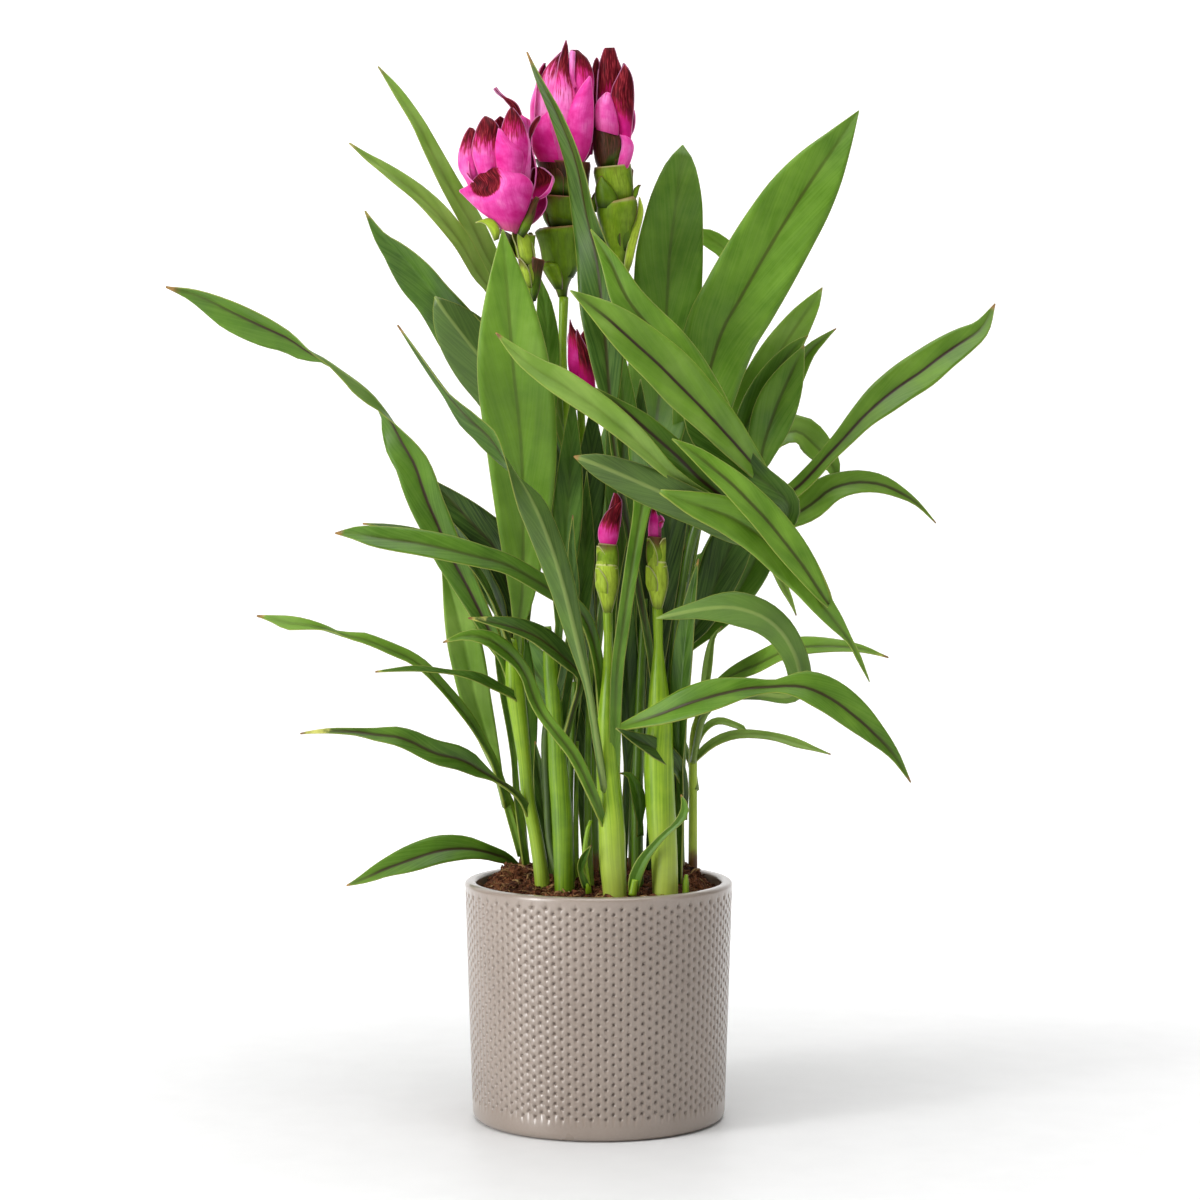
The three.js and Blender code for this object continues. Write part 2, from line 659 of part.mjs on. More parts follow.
// Front right shoot: thick stem with bud F, and an arm behind it whose leaves point left
function makeShootFrontRight() {
  return fuse([
    rootedStem([[33.5, 111.7, -30, 6.2], [33, 130, -30, 6.4], [31.5, 150, -30, 7.2],
      [30, 180, -30, 7.4], [30.5, 200, -30, 6.4], [30, 222, -30, 4], [30, 238, -30, 2.2],
      [29.5, 258, -30, 2.6]]),
    cups(axisF, cupsF),
    stem([[34, 122, -26, 3], [37, 150, -18, 3], [38.5, 185, -22, 2.8], [37, 215, -24, 2.6],
      [38.5, 240, -24, 2.5], [42, 265, -24, 2.5], [47, 292, -24, 2.5], [55, 312, -24, 2.6],
      [68, 321, -24, 2.8], [80, 316, -24, 3], [88, 305, -24, 3], [91, 296, -24, 2.4]]),
    leaf({
      rows: [[30, 205, -30], [26, 235, -28], [21, 262, -28], [17, 285, -29], [12, 312, -32],
        [7.5, 340, -36], [5, 370, -38], [3, 395, -39, 0], [-2, 430, -40, 35], [-8, 455, -41, 55],
        [-13, 480, -42, 58], [-22, 503, -42, 50], [-30, 520, -41, 45], [-36, 535, -40, 40]],
      width: 24, widest: 0.35, petiole: 0.42, steps: 9,
    }),
    leaf({
      rows: [[84, 316, -25], [80, 328, -36], [70, 339, -48], [58, 352, -58], [45, 365.5, -66],
        [30, 380, -73], [15, 394, -79], [0, 405, -84], [-14, 416.5, -88]],
      width: 28, widest: 0.45, roll: -15, steps: 8,
    }),
    leaf({
      rows: [[74, 320, -25], [66, 350, -38], [50, 372, -42], [36, 388, -46], [24, 400, -48],
        [14, 413, -50], [6, 430, -50], [-4, 447, -48]],
      width: 20, petiole: 0.15,
    }),
    leaf({
      rows: [[86, 302, -26], [75, 306, -45], [60, 313, -58], [45, 322, -66], [30, 332, -72],
        [15, 344, -77], [0, 357, -80], [-20, 370, -83], [-38, 383, -85], [-51.5, 395.5, -86]],
      width: 18, fold: 20, roll: -25, steps: 8,
    }),
    leaf({
      rows: [[85, 305, -26], [72, 307, -38], [62, 313, -46], [50, 325, -52], [40, 333, -56],
        [30, 341.5, -59], [20, 350, -61], [8, 361, -63], [-2, 368, -64]],
      width: 18, roll: -15,
    }),
    leaf({
      rows: [[88, 302, -26], [84, 308, -46], [74, 315, -56], [62, 325, -64], [50, 334, -70],
        [37, 342, -74]],
      width: 16, roll: -15,
    }),
    leaf({
      rows: [[90, 297, -26, 245], [85, 296, -48, 240], [70, 301, -56, 230], [58, 307, -62, 215],
        [45, 312.5, -67, 200], [30, 318.5, -71, 190], [15, 325, -75, 180], [0, 331, -78, 180],
        [-12.5, 334, -80, 180]],
      width: 20, fold: 25,
    }),
    leaf({
      rows: [[88, 303, -26], [90, 297, -44], [93, 288, -54], [99, 275, -60], [107, 261, -62],
        [116, 248, -60], [126, 236, -55], [136.5, 220, -50]],
      width: 18, roll: 20,
    }),
    leaf({
      rows: [[90, 300, -24], [92, 312, -32], [80, 322, -38], [66, 334, -42], [52, 346, -44],
        [42, 357, -45]],
      width: 20, petiole: 0.1, roll: -10,
    }),
  ]);
}

// Right shoot: thin stem with the low arching leaves
function makeShootRight() {
  return fuse([
    rootedStem([[47.5, 123, 32, 2.4], [47.5, 150, 32, 2.2], [47.8, 190, 31, 2.2], [51, 204, 28, 2]]),
    leaf({
      rows: [[47.5, 180, 31], [53, 203, 22], [65, 212, 10], [80, 216, -8], [95, 217, -25],
        [104, 222, -38], [106, 230, -45], [103, 240, -50], [95, 250, -55], [85, 257, -60],
        [70, 260, -62], [50, 257, -62], [29, 252, -60]],
      width: 18, petiole: 0.3, roll: 140, steps: 8,
    }),
    leaf({
      rows: [[48, 188, 31], [55, 212, 18], [65, 222, 5], [80, 229, -10], [95, 236, -25],
        [110, 238, -30], [130, 237, -30], [146, 232.5, -28]],
      width: 13, petiole: 0.15, roll: 40,
    }),
    leaf({
      rows: [[48, 181, 31], [60, 189, 25], [75, 194, 22], [95, 192, 20], [117, 183.5, 20]],
      width: 7, petiole: 0.15, roll: 40, steps: 7,
    }),
    leaf({
      rows: [[48, 186, 31], [54, 196, 30], [60, 201, 28], [68, 200, 26], [74, 198, 25],
        [74.5, 190, 25]],
      width: 7, petiole: 0.15, roll: 40, steps: 7,
    }),
    leaf({
      rows: [[50, 194, 30], [52, 205, 27], [54, 222, 24], [57, 241, 20], [62, 248, 18]],
      width: 5, petiole: 0.15, steps: 7,
    }),
    leaf({
      rows: [[48, 165, 32], [46, 180, 38], [38, 196, 46], [24, 206, 52], [6, 210, 56]],
      width: 10, petiole: 0.15, roll: 130, steps: 8,
    }),
  ]);
}

// Back right shoot: big right leaf and the right arching leaves
function makeShootBackRight() {
  return fuse([
    rootedStem([[18.5, 122, 20, 3.6], [18.5, 160, 22, 3.4], [22, 190, 24, 3.2], [30, 220, 28, 3.2],
      [42, 255, 31, 3.2], [55, 285, 33, 3.2], [66, 305, 34, 3], [76, 320, 34, 2.6]]),
    leaf({
      rows: [[38, 245, 30], [45, 290, 18], [48, 330, 3], [53, 365, -12], [60, 390, -15], [68, 410, -16],
        [80, 430, -15], [92, 450, -12], [106, 472, -8], [118, 490, -2], [130, 506, 5]],
      width: 38, widest: 0.5, petiole: 0.3, blunt: 0.3, fold: 10, steps: 9,
    }),
    leaf({
      rows: [[72, 314, 34], [70, 335, 30], [76, 356, 28], [85, 375, 28], [94, 391, 28], [103, 406, 30],
        [112, 418, 34]],
      width: 20, petiole: 0.15,
    }),
    leaf({
      rows: [[72, 314, 34], [70, 338, 18], [77, 355, 15], [88, 374, 14], [98, 388, 15], [105, 394, 16]],
      width: 16, petiole: 0.2,
    }),
    leaf({
      rows: [[74, 316, 34], [80, 326, 14], [83, 340, 8], [89, 358, 5], [96, 374, 5], [103, 389, 7]],
      width: 22, petiole: 0.2,
    }),
    leaf({
      rows: [[75, 318, 34], [88, 350, 36], [96, 368, 37], [104, 384, 38], [112, 392, 38],
        [119, 397.5, 40]],
      width: 10, petiole: 0.2, steps: 8,
    }),
    leaf({
      rows: [[66, 304, 34], [84, 309, 26], [97, 316.5, 26], [107, 325, 28], [120, 338, 32],
        [133, 350, 37], [147, 364, 43], [160, 376, 49], [174, 389, 56], [187, 399.5, 62],
        [198.5, 410, 70]],
      width: 22, petiole: 0.15, roll: 15, steps: 8,
    }),
    leaf({
      rows: [[62, 298, 33], [76, 298, 32], [90, 301, 31], [101, 306.5, 32], [110, 312, 33],
        [120, 318, 35], [130, 319, 38], [142, 317, 41], [152, 313.5, 43], [160, 309.5, 45],
        [169.5, 301, 46]],
      width: 20, petiole: 0.25, roll: 40, steps: 8,
    }),
    leaf({
      rows: [[75, 317, 34], [88, 340, 42], [99, 346, 47], [109, 338.5, 51], [117, 329, 53],
        [120, 319, 54]],
      width: 16, petiole: 0.2, roll: 30,
    }),
    leaf({
      rows: [[58, 290, 33], [80, 288, 25], [88, 279, 16], [93, 268, 12], [97, 260, 11],
        [99.5, 253.5, 10]],
      width: 6, petiole: 0.15, roll: 20, steps: 7,
    }),
    leaf({
      rows: [[28, 213, 27], [50, 245, 18], [56, 270, 14], [63, 292, 12], [72, 312, 12]],
      width: 28, petiole: 0.2,
    }),
    leaf({
      rows: [[33, 228, 29], [58, 240, 26], [70, 262, 24], [78, 284, 22], [86, 300, 22]],
      width: 22, petiole: 0.2,
    }),
    leaf({
      rows: [[42, 255, 31], [45, 330, 60], [48, 400, 75], [53, 430, 80], [60, 445, 84]],
      width: 18, petiole: 0.3, steps: 8,
    }),
    leaf({
      rows: [[19, 165, 22], [14, 220, 12], [11, 270, 2], [11, 320, -6], [9, 352, -10]],
      width: 17, petiole: 0.15, fold: 10,
    }),
    leaf({
      rows: [[21, 182, 23], [25, 230, 14], [21, 280, 4], [17, 335, -2]],
      width: 13, petiole: 0.15, fold: 10,
    }),
  ]);
}

// Back shoot: left upper leaves, four leaves that lean back, and flowers C and D
function makeShootBack() {
  return fuse([
    rootedStem([[-3, 122, 25, 3.6], [-3.5, 150, 25, 3.4], [-3.5, 190, 24, 3.2], [-4, 230, 22, 3.2],
      [-6, 270, 20, 3], [-8, 300, 18, 2.6]]),
    stem([[-4, 245, 21, 2], [5, 300, 12, 1.9], [8, 350, 6, 1.9], [10, 400, 2, 2], [11.5, 427, 0, 2.4]]),
    cups(axisC, cupsC),
    stem([[-7, 285, 18, 2], [-8, 330, 16, 1.8], [-9, 360, 14, 2]]),
    cups(axisD, cupsD),
    leaf({
      rows: [[-8, 290, 19], [-14, 330, 24], [-24, 375, 28], [-36, 405, 30], [-50, 427, 31],
        [-60, 447, 32], [-70, 465, 33], [-80, 483, 34], [-90, 499, 36], [-100, 513, 38],
        [-110, 528, 40]],
      width: 16, petiole: 0.25, roll: -45, steps: 8,
    }),
    leaf({
      rows: [[-8, 292, 18], [-18, 330, 18], [-32, 370, 20], [-46, 400, 20], [-58, 419, 20],
        [-66, 434, 20], [-75, 447, 19], [-87, 460, 17], [-100, 473, 15], [-112, 482, 13],
        [-124.5, 490, 10]],
      width: 17, petiole: 0.25, roll: -50, steps: 8,
    }),
    leaf({
      rows: [[-7, 280, 16], [-22, 330, 8], [-39, 369, 4], [-58, 393, 0], [-71, 407, -3], [-85, 419, -6],
        [-96, 430, -8], [-106, 443, -9], [-117, 456, -10]],
      width: 24, petiole: 0.25, fold: 25, roll: 20, steps: 8,
    }),
    leaf({
      rows: [[-6, 270, 18], [-28, 320, 0], [-45, 360, -8], [-60, 385, -14], [-70, 399, -17],
        [-82, 413.5, -20]],
      width: 34, petiole: 0.2, roll: 180,
    }),
    leaf({
      rows: [[-3, 200, 25], [-14, 250, 50], [-26, 300, 80], [-40, 350, 105], [-52, 385, 122]],
      width: 26, petiole: 0.25,
    }),
    leaf({
      rows: [[-3, 215, 25], [2, 260, 55], [8, 310, 90], [12, 350, 112], [10, 380, 125]],
      width: 28, petiole: 0.25,
    }),
    leaf({
      rows: [[-4, 180, 26], [10, 215, 55], [28, 250, 85], [48, 275, 108], [66, 290, 122]],
      width: 24, petiole: 0.25,
    }),
    leaf({
      rows: [[-4, 170, 26], [-16, 200, 55], [-32, 225, 85], [-50, 240, 108], [-64, 245, 122]],
      width: 22, petiole: 0.25,
    }),
  ]);
}

// Young growths in the soil at the front
function makeSproutFront() {
  return fuse([
    rootedStem([[-5, 113, -33, 1.6], [-7, 130, -33, 1.4], [-6, 143, -33, 1.2], [-4, 150, -33, 0.8]]),
    leaf({
      rows: [[-6, 116, -34], [-9, 125, -36], [-7, 132, -40], [-4, 137, -44]],
      width: 4, steps: 5,
    }),
  ]);
}

function makeSproutSheath() {
  return fuse([
    rootedStem([[17, 112, -38, 2], [18.5, 120, -38, 1.8]]),
    leaf({
      rows: [[17.5, 114, -38], [18.5, 120, -38.5], [23, 130, -39], [29, 140, -41], [35, 148, -43],
        [37.5, 157, -44], [39, 163, -44]],
      width: 5,
    }),
  ]);
}

function makeSproutRight() {
  return fuse([rootedStem([[44, 112, -30, 1.7], [44, 118, -30, 1.6], [44.3, 122.5, -30, 0.8]])]);
}

// Pink bracts of a flower head round their slim core
function makeComa(axis, table, root, rows) {
  return fuse([core(axis, rows), ...bracts(axis, root, table)]);
}

addPart('shoot_left_back', makeShootLeftBack(), leafMaterial);
addPart('shoot_left', makeShootLeft(), leafMaterial);
addPart('shoot_middle', makeShootMiddle(), leafMaterial);
addPart('shoot_front', makeShootFront(), leafMaterial);
addPart('shoot_front_right', makeShootFrontRight(), leafMaterial);
addPart('shoot_right', makeShootRight(), leafMaterial);
addPart('shoot_back_right', makeShootBackRight(), leafMaterial);
addPart('shoot_back', makeShootBack(), leafMaterial);
addPart('coma_a', makeComa(axisA, comaA, 5.5, [[445.6, 4], [452, 6.5], [466, 6.5], [482, 2]]), pinkMaterial);
addPart('coma_b', makeComa(axisB, comaB, 6.5, [[474.4, 6.5], [484, 7.5], [492, 6], [505, 2]]), pinkMaterial);
addPart('coma_c', makeComa(axisC, comaC, 4, [[488.6, 4.4], [496, 5], [504, 4], [515, 1.5]]), pinkMaterial);
addPart('coma_d', makeComa(axisD, comaD, 2.4, [[371.4, 2.4], [380, 3], [388, 1.5]]), pinkMaterial);
addPart('coma_e', makeComa(axisE, comaE, 2, [[286.4, 2.6], [294, 3], [304, 1.5]]), pinkMaterial);
addPart('coma_f', makeComa(axisF, comaF, 1.6, [[290.4, 2], [298, 2.2], [304, 1]]), pinkMaterial);
addPart('sprout_front', makeSproutFront(), sproutMaterial);
addPart('sprout_sheath', makeSproutSheath(), sproutMaterial);
addPart('sprout_right', makeSproutRight(), sproutMaterial);
addPart('soil', makeSoil(), soilMaterial);
addPart('pot', makePot(), glazeMaterial);

export default plant;
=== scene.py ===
import math
from dataclasses import dataclass

import bpy
import numpy as np
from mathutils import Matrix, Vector


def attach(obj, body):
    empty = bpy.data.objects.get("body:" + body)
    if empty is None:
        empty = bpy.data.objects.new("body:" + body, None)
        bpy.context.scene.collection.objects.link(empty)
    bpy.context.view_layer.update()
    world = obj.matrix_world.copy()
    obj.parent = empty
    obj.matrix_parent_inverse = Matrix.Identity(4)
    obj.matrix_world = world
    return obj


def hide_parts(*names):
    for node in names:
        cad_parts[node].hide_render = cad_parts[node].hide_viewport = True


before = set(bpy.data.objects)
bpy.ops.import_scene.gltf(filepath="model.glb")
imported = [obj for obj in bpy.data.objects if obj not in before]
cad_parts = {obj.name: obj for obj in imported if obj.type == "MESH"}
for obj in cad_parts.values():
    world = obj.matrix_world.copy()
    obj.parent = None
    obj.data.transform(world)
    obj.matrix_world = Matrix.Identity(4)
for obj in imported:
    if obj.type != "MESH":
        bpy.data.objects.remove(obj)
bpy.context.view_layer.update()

# Driving dimensions, in millimetres
MM = 0.001
POT_DIAMETER = 135.0
POT_HEIGHT = 120.0
POT_BASE_RADIUS = 63.8
POT_CORNER = 4.0
POT_WALL = 5.8
WALL_RADIUS = 66.0
POT_FLOOR = 6.0
PIT_COLUMNS = 112
PIT_PITCH = 4.9
PIT_RADIUS = 1.05
PIT_DEPTH = 1.3
PIT_ACROSS = [-1.05, -0.6, 0.0, 0.6, 1.05]
PIT_ALONG = [-1.15, -0.75, -0.25, 0.25, 0.75, 1.15]
PLAIN_FOOT = 9.0
PLAIN_RIM = 4.0
WALL_START = 6.5
WALL_END = 2.2
LIP_RADIUS = 1.9
SOIL_LEVEL = 119.5
SOIL_SLOPE = 0.1
SOIL_GAP = 0.65
ROOT_BOTTOM = 98.0
LEAF_COLUMNS = 13
LEAF_STEP = 4.5
LEAF_EDGE = 0.35
LEAF_MIDDLE = 0.8
LEAF_BLUNT = 0.05
LEAF_TIP = 0.22
LEAF_WAVE = 0.035
GROOVE_DEPTH = 0.25
GROOVE_WIDTH = 0.9
KEEL_DEPTH = 0.7
PETIOLE_THICKNESS = 2.4
PETIOLE_WIDTH = 3.8
STEM_SIDES = 20
STEM_STEP = 4.0
STEM_RIDGE = 0.03
SHEATH_RADIUS = 3.5
SHEATH_RIDGE = 0.1
SHEATH_TWIST = 160
PALE_HEIGHT = 45
BRACT_SPREAD = 1.1
BRACT_THICKNESS = 0.55
BRACT_CURL = 0.8
CRUMBS = 2600
CRUMB_SIZES = [0.45, 0.7, 1.0, 1.6, 2.3]
CRUMB_SHARES = [0.3, 0.34, 0.22, 0.1, 0.04]
CRUMB_SPREAD = 60.5
CRUMB_REACH = 61.2
FIBRES = 330
FIBRE_SPREAD = 59
FIBRE_REACH = 60.8
ROOTS = 16
ROOT_REACH = 60.2
HUSK_THICKNESS = 0.3

# Distances are divided by these where they are kept in a colour channel or in the surface map
CHANNEL_SCALE = 20
MAP_SCALE = 100

# Every leaf and stem is drawn as rows (x, z, y): x and z as seen from the eye on the plane
# y = 0, then its depth y, which spreads the row about the line of sight.
EYE_DISTANCE = 1500.0
EYE_HEIGHT = 326.0
EYE = np.array([0.0, -EYE_DISTANCE, EYE_HEIGHT])


def place(row):
    x, z, y = row[:3]
    spread = 1 + y / EYE_DISTANCE
    return np.array([x * spread, y, EYE_HEIGHT + (z - EYE_HEIGHT) * spread])


def smoothstep(low, high, x):
    t = np.clip((x - low) / (high - low), 0, 1)
    return t * t * (3 - 2 * t)


def spline(points, t):
    """Values at parameters t from 0 to 1 of a smooth curve through the points."""
    p = np.asarray(points, float)
    p = np.vstack([2 * p[0] - p[1], p, 2 * p[-1] - p[-2]])
    last = len(p) - 4
    x = np.clip(np.asarray(t, float), 0, 1) * (last + 1)
    k = np.minimum(x.astype(int), last)
    f = (x - k)[:, None]
    a, b, c, d = p[k], p[k + 1], p[k + 2], p[k + 3]
    cubic = (-a + 3 * b - 3 * c + d) * f**3
    square = (2 * a - 5 * b + 4 * c - d) * f**2
    return 0.5 * (cubic + square + (c - a) * f + 2 * b)


def even_parameters(points, count):
    """Parameters of count points that are evenly spaced along the curve, and its length."""
    t = np.linspace(0, 1, 400)
    steps = np.linalg.norm(np.diff(spline(points, t), axis=0), axis=1)
    length = np.concatenate([[0], np.cumsum(steps)])
    return np.interp(np.linspace(0, length[-1], count), length, t), length[-1]


def unit(v):
    return v / np.maximum(np.linalg.norm(v, axis=-1, keepdims=True), 1e-9)


@dataclass
class Leaf:
    """Leaf drawn along its midrib by rows (x, z, y). A fourth number in a row is the roll there in
    degrees, in place of the leaf's own. Widths, one for each row, are those seen from the eye. The
    look is how light the green is, how dark the midrib's stripe, and how far the tip is dry. How
    light the green is, the tone, is partly painted light and shade: leaves that stand in light are
    given a lighter green, leaves in shade a darker one."""

    name: str
    rows: list
    width: float = 0
    widest: float = 0.5
    petiole: float = 0.08
    fold: float = 14
    roll: float = 0
    tone: float = 1
    stripe: float = 0.5
    tip: float = 0.1
    widths: tuple = ()


@dataclass
class Petal:
    """Bract drawn by its two edges: rows (left x, left z, right x, right z) from base to tip. It
    bulges towards the front from the depth of its edges. A hollow is (x, z, half width, half
    height, drop)."""

    name: str
    depth: float
    bulge: float
    rows: list
    tone: float = 1
    dark: float | tuple = 1
    foot: float = 0
    lean: float = 0
    curl: float = 0
    hollow: tuple | None = None


@dataclass
class Head:
    """Flower head: the node of its stem, its axis from the bottom up, tiers of green cups (base,
    rim, inner radius, outer radius, turn, darkness), and the pink coma above them: how far its
    bracts start off the axis, its core (height, radius) and its bracts (row, look)."""

    node: str
    axis: list
    cup_tone: float
    cups: list
    root: float
    core: list
    coma: list


